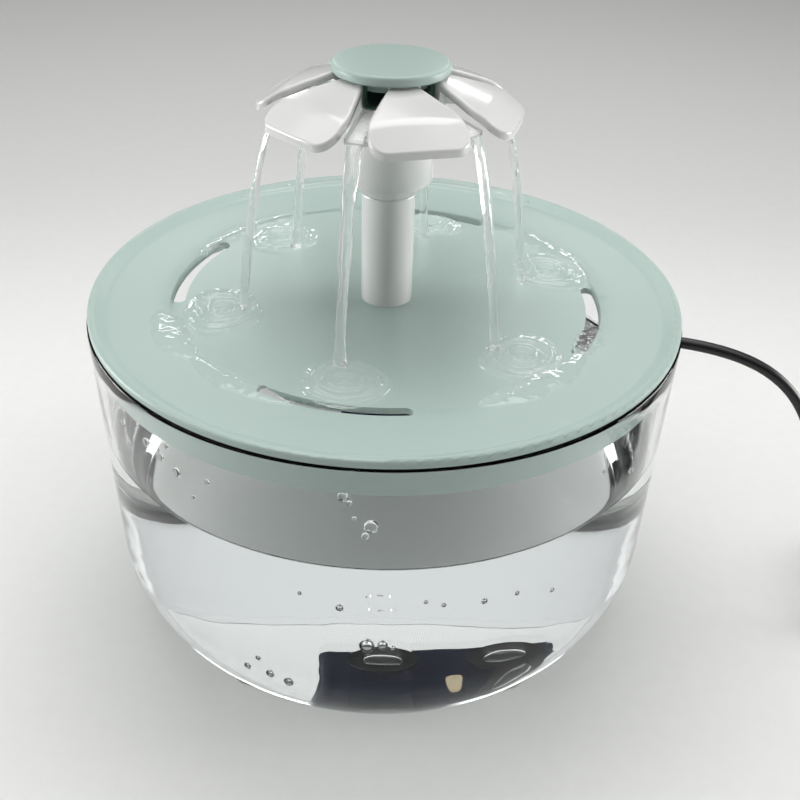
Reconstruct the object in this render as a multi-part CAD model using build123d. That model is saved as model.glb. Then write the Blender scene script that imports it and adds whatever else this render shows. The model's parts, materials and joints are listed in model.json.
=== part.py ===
from build123d import *
import math
import os

# Pet water fountain: a clear bowl with a drinking tray for a lid, a riser tube with a six-petal
# flower on top, and a small submersible pump with its lead, cord coil and plug.
# Millimetres. The origin is on the table under the middle of the bowl. +Z is up, -Y is the front.
# An azimuth is 0 at the front and grows towards +X.

# ------------------------------------------------------------------ fits
running_clearance = 0.05
push_clearance = 0.08
seat_gap = 0.3

# ------------------------------------------------------------------ feet and bowl
foot_radius = 4.8
foot_stand = 3.0
foot_recess = 0.8
foot_edge_round = 0.8
foot_ring_inset = 5.2
foot_azimuths = (33, 147, 213, 327)

bowl_lip_radius = 93.0
bowl_flare = 0.8
bowl_curve_radius = 41.0
bowl_base_inset = 9.5
bowl_wall = 2.4
bowl_floor = 2.6
bowl_lip_height = 107.2
bowl_lip_round = 0.9
bowl_base_round = 1.2
bowl_inner_round = 4.0
gate_ring_radius = 5.5
gate_ring_width = 0.9
gate_ring_depth = 0.5

# ------------------------------------------------------------------ cord and its way out
cord_diameter = 3.5
cord_azimuth = 75.0
cord_exit_drop = 2.4
cord_notch_clearance = 0.3

# ------------------------------------------------------------------ tray
tray_rim_inset = 0.5
tray_rise = 2.8
tray_lip_width = 2.0
tray_lip_round = 1.1
tray_dish_depth = 4.1
tray_band_width = 24.3
tray_step_height = 0.7
tray_band_rise = 1.0
tray_slope_width = 3.2
tray_thickness = 2.0
tray_skirt_wall = 1.8
tray_skirt_depth = 12.0
tray_skirt_clearance = 0.8
tray_sleeve_wall = 1.8
tray_rib_count = 8
tray_rib_width = 1.2
tray_rib_depth = 3.0
drain_count = 4
drain_inset = 2.5
drain_width = 4.2
drain_sweep = 35.0
drain_first_azimuth = -12.5

# ------------------------------------------------------------------ riser tube
riser_radius = 8.1
riser_wall = 1.5
riser_socket_depth = 13.0
riser_bead_radius = 8.45
riser_bead_height = 0.8

# ------------------------------------------------------------------ flower
petal_count = 6
petal_first_azimuth = 14.0
petal_thickness = 2.2
petal_root_reach = 14.9
petal_root_half_width = 4.6
petal_wide_reach = 27.0
petal_shoulder_half_width = 12.7
petal_shoulder_round = 15.0
petal_half_width = 15.0
petal_crease_reach = 29.5
petal_crease_drop = 4.3
petal_tip_reach = 37.8
petal_tip_drop = 9.6
petal_crease_round = 12.0
petal_crown_radius = 95.0
petal_corner_round = 5.2
petal_tip_sag = 1.3
petal_edge_round = 0.9
window_width = 7.6
window_height = 6.7
window_corner_round = 1.2
spout_reach = 32.5
spout_root_half_width = 3.7
spout_tip_half_width = 3.1
spout_drop = 2.2
spout_thickness = 2.0
spout_channel_depth = 0.9
spout_wall = 0.7
hub_radius = 15.9
hub_wall = 1.75
hub_top_height = 177.2
hub_flare_drop = 8.2
hub_floor_drop = 13.2
hub_waist_drop = 17.2
collar_radius = 13.0
collar_bottom_drop = 35.2
collar_chamfer = 4.1
core_wall = 2.5
core_floor = 1.2
core_window_margin = 0.3
cap_radius = 17.0
cap_thickness = 2.9
cap_crown = 0.5
cap_edge_round = 1.2
cap_stub_depth = 3.0
cap_stub_wall = 1.5

# ------------------------------------------------------------------ pump
cup_radius = 9.0
cup_height = 4.2
cup_neck_radius = 1.9
cup_neck_length = 1.8
cup_front_x = 1.0
cup_rear_x = 31.0
pump_hang_drop = 70.9
pump_front_x = -14.5
pump_split_x = -7.0
pump_rear_x = 42.0
pump_half_width = 15.0
pump_height = 30.0
pump_corner_round = 5.0
pump_end_round = 3.0
pump_wall = 2.0
pump_axis_rise = 15.0
chamber_radius = 11.5
chamber_end_x = 6.0
tunnel_radius = 6.6
tunnel_wall = 1.4
tunnel_end_x = 30.5
boss_radius = 10.0
boss_height = 5.4
lead_boss_radius = 8.0
lead_boss_height = 3.0
lead_boss_x = 31.0
base_plate_thickness = 2.0
cover_wall = 1.4
cover_spigot = 2.0
grille_slot_count = 6
grille_slot_width = 1.8
grille_slot_length = 18.0
grille_slot_pitch = 3.8
sponge_thickness = 3.0
plate_thickness = 1.6
plate_radius = 12.5
inlet_radius = 6.0
inlet_hub_radius = 3.4
inlet_spoke_width = 1.6
inlet_spoke_count = 3

# ------------------------------------------------------------------ rotor
shaft_radius = 1.15
front_bush_radius = 2.2
rear_bush_radius = 3.0
rear_bush_length = 2.0
impeller_radius = 10.2
impeller_hub_radius = 3.0
impeller_disc_thickness = 1.6
impeller_front_x = -6.2
impeller_disc_x = 1.6
blade_count = 6
blade_thickness = 1.2
blade_bow_radius = 9.0
stem_radius = 2.6
magnet_radius = 6.1
magnet_start_x = 4.4
magnet_end_x = 26.0

# ------------------------------------------------------------------ stator, driver and light
stator_start_x = 11.0
stator_length = 12.0
stator_bore_radius = 8.15
stator_yoke_inner = 11.0
stator_yoke_outer = 12.8
tooth_count = 6
tooth_width = 2.6
winding_thickness = 1.0
winding_inner = 8.6
winding_outer = 10.6
winding_overhang = 1.0
board_thickness = 1.2
board_x = 36.0
board_width = 20.0
led_x = 19.5
led_radius = 2.3
led_length = 4.4
led_proud = 1.1

# ------------------------------------------------------------------ outlet
nozzle_bore = 4.8
nozzle_root_radius = 6.8
nozzle_root_length = 3.0
nozzle_flange_radius = 10.0
nozzle_flange = 2.0
nozzle_spigot_length = 13.0
ring_section = 0.75
ring_rise = 6.0

# ------------------------------------------------------------------ lead gland, coil and plug
gland_radius = 3.6
gland_tip_radius = 2.6
gland_length = 8.0
gland_depth = 1.6
coil_turns = 8.25
coil_layers = 2
coil_rows = 4
coil_mean_radius = 20.0
coil_rest_height = 0.7
coil_round = 1.4
tie_thickness = 0.6
tie_width = 7.0
plug_lead_reach = 26.0
plug_rest_height = 0.1
boot_grip = 3.6
boot_length = 11.0
boot_tip_radius = 2.3
boot_root_radius = 3.4
plug_width = 16.0
plug_thickness = 8.0
plug_length = 25.0
plug_round = 2.4
grip_count = 4
shell_width = 12.0
shell_thickness = 4.5
shell_length = 14.2
shell_wall = 0.35
shell_window = 2.2
insert_thickness = 1.9

# ------------------------------------------------------------------ sizes worked out from those above
cord_radius = cord_diameter / 2
bowl_shoulder_radius = bowl_lip_radius - bowl_flare
bowl_base_radius = bowl_shoulder_radius - bowl_base_inset
foot_ring_radius = bowl_base_radius - foot_ring_inset
cord_exit_height = bowl_lip_height - cord_exit_drop
tray_rim_radius = bowl_lip_radius - tray_rim_inset
tray_rim_height = bowl_lip_height + tray_rise
tray_disc_radius = tray_rim_radius - tray_band_width
drain_mean_radius = tray_disc_radius - drain_inset
tray_seat_height = bowl_lip_height + seat_gap
disc_height = tray_rim_height - tray_dish_depth
curve_centre_r = bowl_shoulder_radius - bowl_curve_radius
shoulder_rise = math.sqrt(bowl_curve_radius ** 2 - (bowl_base_radius - curve_centre_r) ** 2)
shoulder_height = foot_stand + shoulder_rise
inner_curve_radius = bowl_curve_radius - bowl_wall
floor_height = foot_stand + bowl_floor
inner_floor_radius = curve_centre_r + math.sqrt(
    inner_curve_radius ** 2 - (shoulder_height - floor_height) ** 2)
skirt_outer_radius = bowl_lip_radius - bowl_wall - tray_skirt_clearance
skirt_bottom = tray_rim_height - tray_skirt_depth
tray_hole_radius = riser_radius + push_clearance
hub_flare_height = hub_top_height - hub_flare_drop
hub_floor_height = hub_top_height - hub_floor_drop
hub_waist_height = hub_top_height - hub_waist_drop
collar_bottom_height = hub_top_height - collar_bottom_drop
hub_bore_radius = riser_radius + running_clearance
hub_inner_radius = hub_radius - hub_wall
sill_height = hub_top_height - window_height
core_radius = hub_inner_radius - push_clearance
core_inner_radius = core_radius - core_wall
cap_bottom = hub_top_height + 0.2
cap_stub_radius = core_inner_radius - push_clearance
pump_hang_height = disc_height - pump_hang_drop
pump_top = pump_hang_height + pump_height
pump_axis_height = pump_hang_height + pump_axis_rise
boss_top = pump_top + boss_height
flange_top = boss_top + nozzle_flange
riser_inner_radius = riser_radius - riser_wall
nozzle_spigot_radius = tray_hole_radius - push_clearance
sleeve_bottom = flange_top + push_clearance
riser_bottom = flange_top + nozzle_spigot_length + seat_gap
riser_top = collar_bottom_height + riser_socket_depth
plate_front_x = pump_split_x - cover_spigot
gland_bottom = pump_top + lead_boss_height - gland_depth
gland_top = gland_bottom + gland_length
coil_inner = coil_mean_radius - coil_rows * cord_radius
coil_outer = coil_mean_radius + coil_rows * cord_radius
coil_height = coil_layers * cord_diameter
coil_outer_turn = coil_outer - cord_radius
led_across = pump_half_width - pump_corner_round
led_down = pump_axis_rise - pump_corner_round
led_reach = math.hypot(led_across, led_down) + pump_corner_round
cut = 60.0


# ------------------------------------------------------------------ helpers
def around(radius, azimuth, height=0.0):
    """A point at a radius and an azimuth."""
    angle = math.radians(azimuth)
    return Vector(radius * math.sin(angle), -radius * math.cos(angle), height)


def facing(azimuth):
    """The turn about Z that takes +X to an azimuth."""
    return Rotation(0, 0, azimuth - 90)


def spun(*points):
    """A solid of revolution about Z from (radius, height) points."""
    return revolve(Plane.XZ * make_face(Polyline(*points, close=True)), Axis.Z)


def tube(outer, inner, bottom, top):
    """A plain ring about Z."""
    return spun((inner, bottom), (outer, bottom), (outer, top), (inner, top))


def rod(radius, start_x, end_x, y=0.0, z=0.0):
    """A round bar along X."""
    return Plane((start_x, y, z), z_dir=(1, 0, 0)) * extrude(Circle(radius), end_x - start_x)


def block(low, high):
    """A box between two corners."""
    size = [b - a for a, b in zip(low, high)]
    middle = [(a + b) / 2 for a, b in zip(low, high)]
    return Pos(*middle) * Box(*size)


def rings_at(shape, radius, height):
    """The circular edges about Z that have this radius and height."""
    return [
        edge for edge in shape.edges().filter_by(GeomType.CIRCLE)
        if abs(edge.radius - radius) < 0.02 and abs(edge.arc_center.Z - height) < 0.02
    ]


def corner_radii(points):
    """For each corner, 0.45 of its shorter run over the tangent of half the turn."""
    radii = []
    for before, here, after in zip(points, points[1:], points[2:]):
        turn = (here - before).get_angle(after - here)
        shorter = min((here - before).length, (after - here).length)
        radii.append(0.45 * shorter / math.tan(math.radians(turn) / 2))
    return radii


def cord_path(points):
    """Straight runs joined by the largest tangent arcs that leave a tenth of each run straight."""
    return FilletPolyline(*points, radius=corner_radii(points))


def round_bar(path, radius):
    """A round bar along a path."""
    return sweep(Plane(path @ 0, z_dir=path % 0) * Circle(radius), path=path)


def cord_along(name, points):
    """The cord's solid along a route, with its length and its arcs printed."""
    radii = corner_radii(points)
    path = cord_path(points)
    solid = round_bar(path, cord_radius)
    expected = math.pi * cord_radius ** 2 * path.length
    print(name, "length", round(path.length, 1), "radii", [round(radius, 1) for radius in radii],
          "volume / section x length", round(solid.volume / expected, 4))
    return solid


# ------------------------------------------------------------------ bowl and feet
def make_bowl():
    base = (bowl_base_radius, foot_stand)
    shoulder = (bowl_shoulder_radius, shoulder_height)
    low_angle = math.asin(shoulder_rise / bowl_curve_radius) / 2
    outer_middle = (curve_centre_r + bowl_curve_radius * math.cos(low_angle),
                    shoulder_height - bowl_curve_radius * math.sin(low_angle))
    inner_floor = (inner_floor_radius, floor_height)
    inner_shoulder = (bowl_shoulder_radius - bowl_wall, shoulder_height)
    inner_angle = math.asin((shoulder_height - floor_height) / inner_curve_radius) / 2
    inner_middle = (curve_centre_r + inner_curve_radius * math.cos(inner_angle),
                    shoulder_height - inner_curve_radius * math.sin(inner_angle))
    lip = (bowl_lip_radius, bowl_lip_height)
    inner_lip = (bowl_lip_radius - bowl_wall, bowl_lip_height)
    outline = Curve() + [
        Polyline((0, floor_height), (0, foot_stand), base),
        ThreePointArc(base, outer_middle, shoulder),
        Polyline(shoulder, lip, inner_lip, inner_shoulder),
        ThreePointArc(inner_shoulder, inner_middle, inner_floor),
        Line(inner_floor, (0, floor_height)),
    ]
    bowl = revolve(Plane.XZ * make_face(outline), Axis.Z)
    bowl = fillet(rings_at(bowl, bowl_base_radius, foot_stand), bowl_base_round)
    bowl = fillet(rings_at(bowl, inner_floor_radius, floor_height), bowl_inner_round)
    lip_edges = rings_at(bowl, bowl_lip_radius, bowl_lip_height)
    lip_edges += rings_at(bowl, bowl_lip_radius - bowl_wall, bowl_lip_height)
    bowl = fillet(lip_edges, bowl_lip_round)
    for azimuth in foot_azimuths:
        bowl -= Pos(*around(foot_ring_radius, azimuth, foot_stand)) * Cylinder(
            foot_radius + push_clearance, foot_recess, align=(Align.CENTER, Align.CENTER, Align.MIN))
    bowl -= tube(gate_ring_radius + gate_ring_width, gate_ring_radius, foot_stand - 1, foot_stand + gate_ring_depth)
    return bowl - cord_notch()


def cord_notch():
    """The round-bottomed notch that the cord takes through the lip."""
    radius = cord_radius + cord_notch_clearance
    start = bowl_lip_radius - 4 * bowl_wall
    end = bowl_lip_radius + bowl_wall
    groove = rod(radius, start, end, z=cord_exit_height)
    groove += block((start, -radius, cord_exit_height), (end, radius, cord_exit_height + 4 * radius))
    return facing(cord_azimuth) * groove


def make_feet():
    foot = Cylinder(foot_radius, foot_stand + foot_recess, align=(Align.CENTER, Align.CENTER, Align.MIN))
    foot = fillet(rings_at(foot, foot_radius, 0), foot_edge_round)
    return Compound([Pos(*around(foot_ring_radius, azimuth)) * foot for azimuth in foot_azimuths])


# ------------------------------------------------------------------ tray
def make_tray():
    step_height = disc_height + tray_step_height
    band_outer = tray_rim_radius - tray_lip_width - tray_slope_width
    band_height = step_height + tray_band_rise
    under_disc = disc_height - tray_thickness
    under_step = step_height - tray_thickness
    under_band = band_height - tray_thickness
    skirt_inner = skirt_outer_radius - tray_skirt_wall
    lip_inner = tray_rim_radius - tray_lip_width
    tray = spun(
        (tray_hole_radius, disc_height), (tray_disc_radius, disc_height),
        (tray_disc_radius, step_height), (band_outer, band_height),
        (lip_inner, tray_rim_height), (tray_rim_radius, tray_rim_height),
        (tray_rim_radius, tray_seat_height), (skirt_outer_radius, tray_seat_height),
        (skirt_outer_radius, skirt_bottom), (skirt_inner, skirt_bottom),
        (skirt_inner, under_band), (tray_disc_radius, under_step),
        (tray_disc_radius, under_disc), (tray_hole_radius, under_disc))
    tray = fillet(rings_at(tray, tray_rim_radius, tray_rim_height), tray_lip_round)
    tray = fillet(rings_at(tray, lip_inner, tray_rim_height), tray_lip_round)
    tray = fillet(rings_at(tray, band_outer, band_height), tray_slope_width)
    tray = fillet(rings_at(tray, tray_rim_radius, tray_seat_height), tray_lip_round / 2)
    sleeve_outer = tray_hole_radius + tray_sleeve_wall
    tray += tube(sleeve_outer, tray_hole_radius, sleeve_bottom, disc_height - tray_thickness / 2)
    rib_end = drain_mean_radius - drain_width
    rib = block((sleeve_outer - tray_sleeve_wall / 2, -tray_rib_width / 2, under_disc - tray_rib_depth),
                (rib_end, tray_rib_width / 2, disc_height - tray_thickness / 2))
    for index in range(tray_rib_count):
        tray += facing(cord_azimuth + (index + 0.5) * 360 / tray_rib_count) * rib
    for index in range(drain_count):
        tray -= drain_slot(drain_first_azimuth + index * 360 / drain_count)
    way_out = block((skirt_inner - 4 * tray_skirt_wall, -cord_diameter, skirt_bottom - 1),
                    (skirt_inner + 0.2, cord_diameter, cord_exit_height + cord_radius + running_clearance))
    way_out += block((skirt_inner, -cord_diameter, skirt_bottom - 1),
                     (skirt_outer_radius + tray_skirt_wall, cord_diameter, tray_seat_height))
    return tray - facing(cord_azimuth) * way_out


def drain_slot(azimuth):
    """One round-ended slot on an arc, right through the tray."""
    start = azimuth - 90 - drain_sweep / 2
    line = CenterArc((0, 0), drain_mean_radius, start, drain_sweep)
    return Pos(0, 0, disc_height - cut / 2) * extrude(SlotArc(line, drain_width), cut)


# ------------------------------------------------------------------ riser tube
def make_riser():
    riser = tube(riser_radius, riser_inner_radius, riser_bottom, riser_top)
    riser = chamfer(rings_at(riser, riser_inner_radius, riser_bottom), riser_wall / 3)
    bead_top = collar_bottom_height - seat_gap
    riser += tube(riser_bead_radius, riser_radius - riser_wall / 2, bead_top - riser_bead_height, bead_top)
    return riser


# ------------------------------------------------------------------ flower
def petal_plan():
    """The petal's outline seen from above, with rounded corners."""
    side = [(petal_root_reach, petal_root_half_width), (petal_wide_reach, petal_shoulder_half_width),
            (petal_tip_reach - petal_tip_sag, petal_half_width)]
    mirrored = [(reach, -width) for reach, width in reversed(side)]
    tip = ThreePointArc(side[-1], (petal_tip_reach, 0), mirrored[0])
    face = make_face(Curve() + [Polyline(*side), tip, Polyline(*mirrored), Line(mirrored[-1], side[0])])
    shoulders = [corner for corner in face.vertices() if abs(corner.X - petal_wide_reach) < 0.1]
    face = fillet(shoulders, petal_shoulder_round)
    corners = [corner for corner in face.vertices() if abs(corner.X - petal_tip_reach + petal_tip_sag) < 0.1]
    return fillet(corners, petal_corner_round)


def petal():
    """One petal along +X: a crowned, creased blade with a rounded outline."""
    top = hub_top_height
    fall = (petal_tip_drop - petal_crease_drop) / (petal_tip_reach - petal_crease_reach)
    past = petal_tip_reach + petal_thickness
    upper = [(petal_root_reach - 1, top), (petal_root_reach, top),
             (petal_crease_reach, top - petal_crease_drop),
             (past, top - petal_crease_drop - fall * (past - petal_crease_reach))]
    lower = [(reach, height - petal_thickness) for reach, height in reversed(upper)]
    section = make_face(Polyline(*upper, *lower, close=True))
    creases = [corner for corner in section.vertices() if abs(corner.X - petal_crease_reach) < 0.1]
    section = Plane.XZ * fillet(creases, petal_crease_round)
    crown_axis = Axis((0, 0, top - petal_crown_radius), (1, 0, 0))
    half_turn = math.degrees(petal_half_width / petal_crown_radius) * 1.3
    blade = revolve(section.rotate(crown_axis, -half_turn), crown_axis, 2 * half_turn)
    blade = blade & extrude(petal_plan(), 4 * cut)
    top_faces = [face for face in blade.faces() if face.normal_at().Z > 0.3]
    top_edges = [
        edge for edge in blade.edges()
        if edge.center().X > petal_root_reach + 1 and sum(on_face(edge, face) for face in top_faces) == 1]
    return fillet(top_edges, petal_edge_round)


def on_face(edge, face):
    """Whether an edge bounds a face."""
    return any(edge.is_same(other) for other in face.edges())


def spout():
    """One open trough along +X that carries the water out between two petals."""
    slope = math.atan2(spout_drop, spout_reach - hub_inner_radius)
    length = (spout_reach - hub_inner_radius) / math.cos(slope)
    plane = Plane((hub_inner_radius + 0.3, 0, sill_height), x_dir=(math.cos(slope), 0, -math.sin(slope)),
                  z_dir=(math.sin(slope), 0, math.cos(slope)))
    outline = make_face(Polyline((0, -spout_root_half_width), (length, -spout_tip_half_width),
                                 (length, spout_tip_half_width), (0, spout_root_half_width), close=True))
    channel = make_face(Polyline(
        (0, spout_wall - spout_root_half_width), (length + 1, spout_wall - spout_tip_half_width),
        (length + 1, spout_tip_half_width - spout_wall), (0, spout_root_half_width - spout_wall), close=True))
    trough = plane * extrude(outline, -spout_thickness)
    groove = plane * extrude(channel, -spout_channel_depth)
    bottom_tip = trough.edges().filter_by(Axis.Y).sort_by(Axis.X)[-2:].sort_by(Axis.Z)[0]
    trough = fillet(bottom_tip, spout_thickness - spout_channel_depth - 0.2)
    return trough - groove


def window_opening(width, sill, azimuth, inner, outer):
    """A window with rounded lower corners, open at its top."""
    opening = block((inner, -width / 2, sill), (outer, width / 2, hub_top_height + 2))
    lower = opening.edges().filter_by(Axis.X).sort_by(Axis.Z)[:2]
    return facing(azimuth) * fillet(lower, window_corner_round)


def make_flower_head():
    neck_radius = collar_radius - collar_chamfer
    head = spun(
        (hub_bore_radius, collar_bottom_height), (neck_radius, collar_bottom_height),
        (collar_radius, collar_bottom_height + collar_chamfer), (collar_radius, hub_waist_height),
        (hub_radius, hub_flare_height), (hub_radius, hub_top_height),
        (hub_inner_radius, hub_top_height), (hub_inner_radius, hub_floor_height),
        (riser_inner_radius, hub_floor_height), (riser_inner_radius, riser_top + seat_gap),
        (hub_bore_radius, riser_top + seat_gap))
    pitch = 360 / petal_count
    for index in range(petal_count):
        azimuth = petal_first_azimuth + index * pitch
        outlet = azimuth + pitch / 2
        head -= window_opening(window_width, sill_height, outlet, hub_inner_radius - 2, hub_radius + 2)
    one_petal = petal()
    one_spout = spout()
    for index in range(petal_count):
        azimuth = petal_first_azimuth + index * pitch
        head += facing(azimuth) * one_petal
        head += facing(azimuth + pitch / 2) * one_spout
    return head


def make_flower_core():
    bottom = hub_floor_height + 0.1
    core = spun(
        (riser_inner_radius, bottom), (core_radius, bottom), (core_radius, hub_top_height),
        (core_inner_radius, hub_top_height), (core_inner_radius, bottom + core_floor),
        (riser_inner_radius, bottom + core_floor))
    pitch = 360 / petal_count
    for index in range(petal_count):
        outlet = petal_first_azimuth + (index + 0.5) * pitch
        core -= window_opening(window_width - 2 * core_window_margin, sill_height + core_window_margin,
                               outlet, core_inner_radius - 2, core_radius + 1)
    return core


def make_cap():
    top = cap_bottom + cap_thickness
    outline = Curve() + [
        Polyline((0, top + cap_crown), (0, cap_bottom), (cap_radius - cap_edge_round / 2, cap_bottom),
                 (cap_radius, cap_bottom + cap_edge_round / 2), (cap_radius, top)),
        ThreePointArc((cap_radius, top), (cap_radius * 0.55, top + cap_crown * 0.72), (0, top + cap_crown)),
    ]
    cap = revolve(Plane.XZ * make_face(outline), Axis.Z)
    cap = fillet(rings_at(cap, cap_radius, top), cap_edge_round)
    stub_inner = cap_stub_radius - cap_stub_wall
    return cap + tube(cap_stub_radius, stub_inner, cap_bottom - cap_stub_depth, cap_bottom + cap_thickness / 2)


# ------------------------------------------------------------------ pump
def pump_box(start_x, end_x, inset=0.0):
    """The pump's outline between two stations along X, drawn in by an inset."""
    height = pump_height - 2 * inset
    width = 2 * (pump_half_width - inset)
    profile = RectangleRounded(width, height, pump_corner_round - inset)
    plane = Plane((start_x, 0, pump_hang_height + pump_height / 2), x_dir=(0, 1, 0), z_dir=(1, 0, 0))
    return plane * extrude(profile, end_x - start_x)


def cup_hole(x):
    """The blind hole in the pump's underside that takes a suction cup's neck."""
    return tube_at(x, cup_neck_radius + push_clearance, pump_hang_height - 1, pump_hang_height + cup_neck_length + 0.2)


def led_rod(radius, start, end):
    """A round bar that looks out through the pump's lower front corner, between two reaches from its axis."""
    plane = Plane((led_x, 0, pump_axis_height), z_dir=(0, -led_across, -led_down))
    return plane * Pos(0, 0, start) * extrude(Circle(radius), end - start)


def cavity_low():
    return chamber_end_x + pump_wall


def make_pump_housing():
    housing = pump_box(pump_split_x, pump_rear_x)
    rear_edges = housing.faces().sort_by(Axis.X)[-1].edges()
    housing = fillet(rear_edges, pump_end_round)
    spigot = pump_box(plate_front_x, pump_split_x, cover_wall + push_clearance)
    housing += spigot
    housing -= block((cavity_low(), pump_wall - pump_half_width, pump_hang_height - 1),
                     (pump_rear_x - pump_wall, pump_half_width - pump_wall, pump_top - pump_wall))
    axis = pump_axis_height
    housing += rod(tunnel_radius + tunnel_wall, chamber_end_x, tunnel_end_x + 2 * pump_wall, z=axis)
    over_cover = block((-cut, -cut, 0), (pump_split_x, cut, pump_top + seat_gap))
    for x, radius, height in ((0.0, boss_radius, boss_height), (lead_boss_x, lead_boss_radius, lead_boss_height)):
        boss = tube_at(x, radius, pump_top - pump_wall, pump_top + height)
        housing += fillet(boss.edges().sort_by(Axis.Z)[-1], 1.0) - over_cover
    housing -= rod(chamber_radius, plate_front_x - 1, chamber_end_x, z=axis)
    housing -= rod(plate_radius + push_clearance, plate_front_x - 1, plate_front_x + plate_thickness + 0.1, z=axis)
    housing -= rod(tunnel_radius, chamber_end_x - 1, tunnel_end_x, z=axis)
    housing -= rod(rear_bush_radius + push_clearance, tunnel_end_x - 1, tunnel_end_x + rear_bush_length, z=axis)
    housing -= tube_at(0, nozzle_bore, axis, boss_top + 1)
    housing -= tube_at(0, nozzle_root_radius + push_clearance, boss_top - nozzle_root_length, boss_top + 1)
    housing -= tube_at(lead_boss_x, gland_radius + push_clearance, gland_bottom, pump_top + lead_boss_height + 1)
    housing -= tube_at(lead_boss_x, cord_radius + 0.2, pump_top - pump_wall - 1, gland_bottom + 1)
    housing -= led_rod(led_radius + push_clearance, led_reach - led_length, led_reach + pump_wall)
    return housing - cup_hole(cup_front_x)


def tube_at(x, radius, bottom, top):
    """A round bar along Z at a place on the X axis."""
    return Pos(x, 0, bottom) * Cylinder(radius, top - bottom, align=(Align.CENTER, Align.CENTER, Align.MIN))


def make_pump_base():
    inset = pump_wall + 0.1
    plate = block((cavity_low() + 0.1, inset - pump_half_width, pump_hang_height),
                  (pump_rear_x - inset, pump_half_width - inset, pump_hang_height + base_plate_thickness))
    plate -= led_rod(led_radius + push_clearance, led_reach - led_length, led_reach + pump_wall)
    return plate - cup_hole(cup_rear_x)


def make_pump_cover():
    cover = pump_box(pump_front_x, pump_split_x - 0.1)
    cover = fillet(cover.faces().sort_by(Axis.X)[0].edges(), pump_end_round)
    cover -= pump_box(pump_front_x + cover_wall, pump_split_x + 1, cover_wall)
    first = -(grille_slot_count - 1) / 2 * grille_slot_pitch
    for index in range(grille_slot_count):
        y = first + index * grille_slot_pitch
        middle = Plane((pump_front_x - 1, y, pump_axis_height), x_dir=(0, 0, 1), z_dir=(1, 0, 0))
        cover -= middle * extrude(SlotOverall(grille_slot_length, grille_slot_width), cover_wall + 2)
    return cover


def make_sponge():
    start = pump_front_x + cover_wall + 0.2
    return pump_box(start, start + sponge_thickness, cover_wall + 0.4)


def make_volute_plate():
    axis = pump_axis_height
    back = plate_front_x + plate_thickness
    plate = rod(plate_radius, plate_front_x, back, z=axis) - rod(inlet_radius, plate_front_x - 1, back + 1, z=axis)
    plate += rod(inlet_hub_radius, plate_front_x, back, z=axis)
    spoke = block((plate_front_x, -inlet_spoke_width / 2, 0),
                  (back, inlet_spoke_width / 2, inlet_radius + 0.5))
    for index in range(inlet_spoke_count):
        plate += Pos(0, 0, axis) * Rotation(index * 360 / inlet_spoke_count, 0, 0) * spoke
    return plate - rod(front_bush_radius + push_clearance, plate_front_x - 1, back + 1, z=axis)


def make_impeller():
    """Six bowed blades on a disc, with the stem that carries the magnet."""
    axis = pump_axis_height
    disc_back = impeller_disc_x + impeller_disc_thickness
    wheel = rod(impeller_hub_radius, impeller_front_x, impeller_disc_x, z=axis)
    wheel += rod(impeller_radius, impeller_disc_x, disc_back, z=axis)
    wheel += rod(stem_radius, disc_back, magnet_end_x + 0.6, z=axis)
    start = (impeller_hub_radius - 0.6, 0)
    end = (impeller_radius - 0.3, 0)
    bow = RadiusArc(start, end, blade_bow_radius)
    face = make_face(Curve() + [
        bow, Line(end, (end[0], blade_thickness)),
        RadiusArc((end[0], blade_thickness), (start[0], blade_thickness), -blade_bow_radius),
        Line((start[0], blade_thickness), start)])
    station = Plane((impeller_front_x, 0, axis), x_dir=(0, 1, 0), z_dir=(1, 0, 0))
    blade = extrude(face, impeller_disc_x - impeller_front_x + 0.2)
    for index in range(blade_count):
        wheel += station * Rotation(0, 0, index * 360 / blade_count) * blade
    return wheel - rod(shaft_radius + running_clearance, impeller_front_x - 1, magnet_end_x + 2, z=axis)


def make_magnet():
    axis = pump_axis_height
    magnet = rod(magnet_radius, magnet_start_x, magnet_end_x, z=axis)
    return magnet - rod(stem_radius + running_clearance, magnet_start_x - 1, magnet_end_x + 1, z=axis)


def make_shaft():
    return rod(shaft_radius, plate_front_x, tunnel_end_x + rear_bush_length - 0.2, z=pump_axis_height)


def make_front_bush():
    axis = pump_axis_height
    back = plate_front_x + plate_thickness + 0.6
    bush = rod(front_bush_radius, plate_front_x, back, z=axis)
    return bush - rod(shaft_radius + 0.02, plate_front_x - 1, back + 1, z=axis)


def make_rear_bush():
    axis = pump_axis_height
    end = tunnel_end_x + rear_bush_length - 0.1
    bush = rod(rear_bush_radius, tunnel_end_x + 0.1, end, z=axis)
    return bush - rod(shaft_radius + 0.02, tunnel_end_x - 1, end + 1, z=axis)


def make_stator_core():
    """A laminated ring with six teeth that stop at the tunnel."""
    axis = pump_axis_height
    end = stator_start_x + stator_length
    core = rod(stator_yoke_outer, stator_start_x, end, z=axis)
    core -= rod(stator_yoke_inner, stator_start_x - 1, end + 1, z=axis)
    tooth = block((stator_start_x, -tooth_width / 2, stator_bore_radius - 0.1),
                  (end, tooth_width / 2, stator_yoke_inner + 0.4))
    for index in range(tooth_count):
        core += Pos(0, 0, axis) * Rotation(index * 360 / tooth_count, 0, 0) * tooth
    return core - rod(stator_bore_radius, stator_start_x - 1, end + 1, z=axis)


def make_windings():
    """One square coil round each tooth."""
    end = stator_start_x + stator_length
    inside = 0.1
    outer = block((stator_start_x - winding_overhang - inside, -tooth_width / 2 - winding_thickness, winding_inner),
                  (end + winding_overhang + inside, tooth_width / 2 + winding_thickness, winding_outer))
    hole = block((stator_start_x - inside, -tooth_width / 2 - inside, winding_inner - 1),
                 (end + inside, tooth_width / 2 + inside, winding_outer + 1))
    coil = outer - hole
    return Compound([
        Pos(0, 0, pump_axis_height) * Rotation(index * 360 / tooth_count, 0, 0) * coil
        for index in range(tooth_count)])


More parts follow.
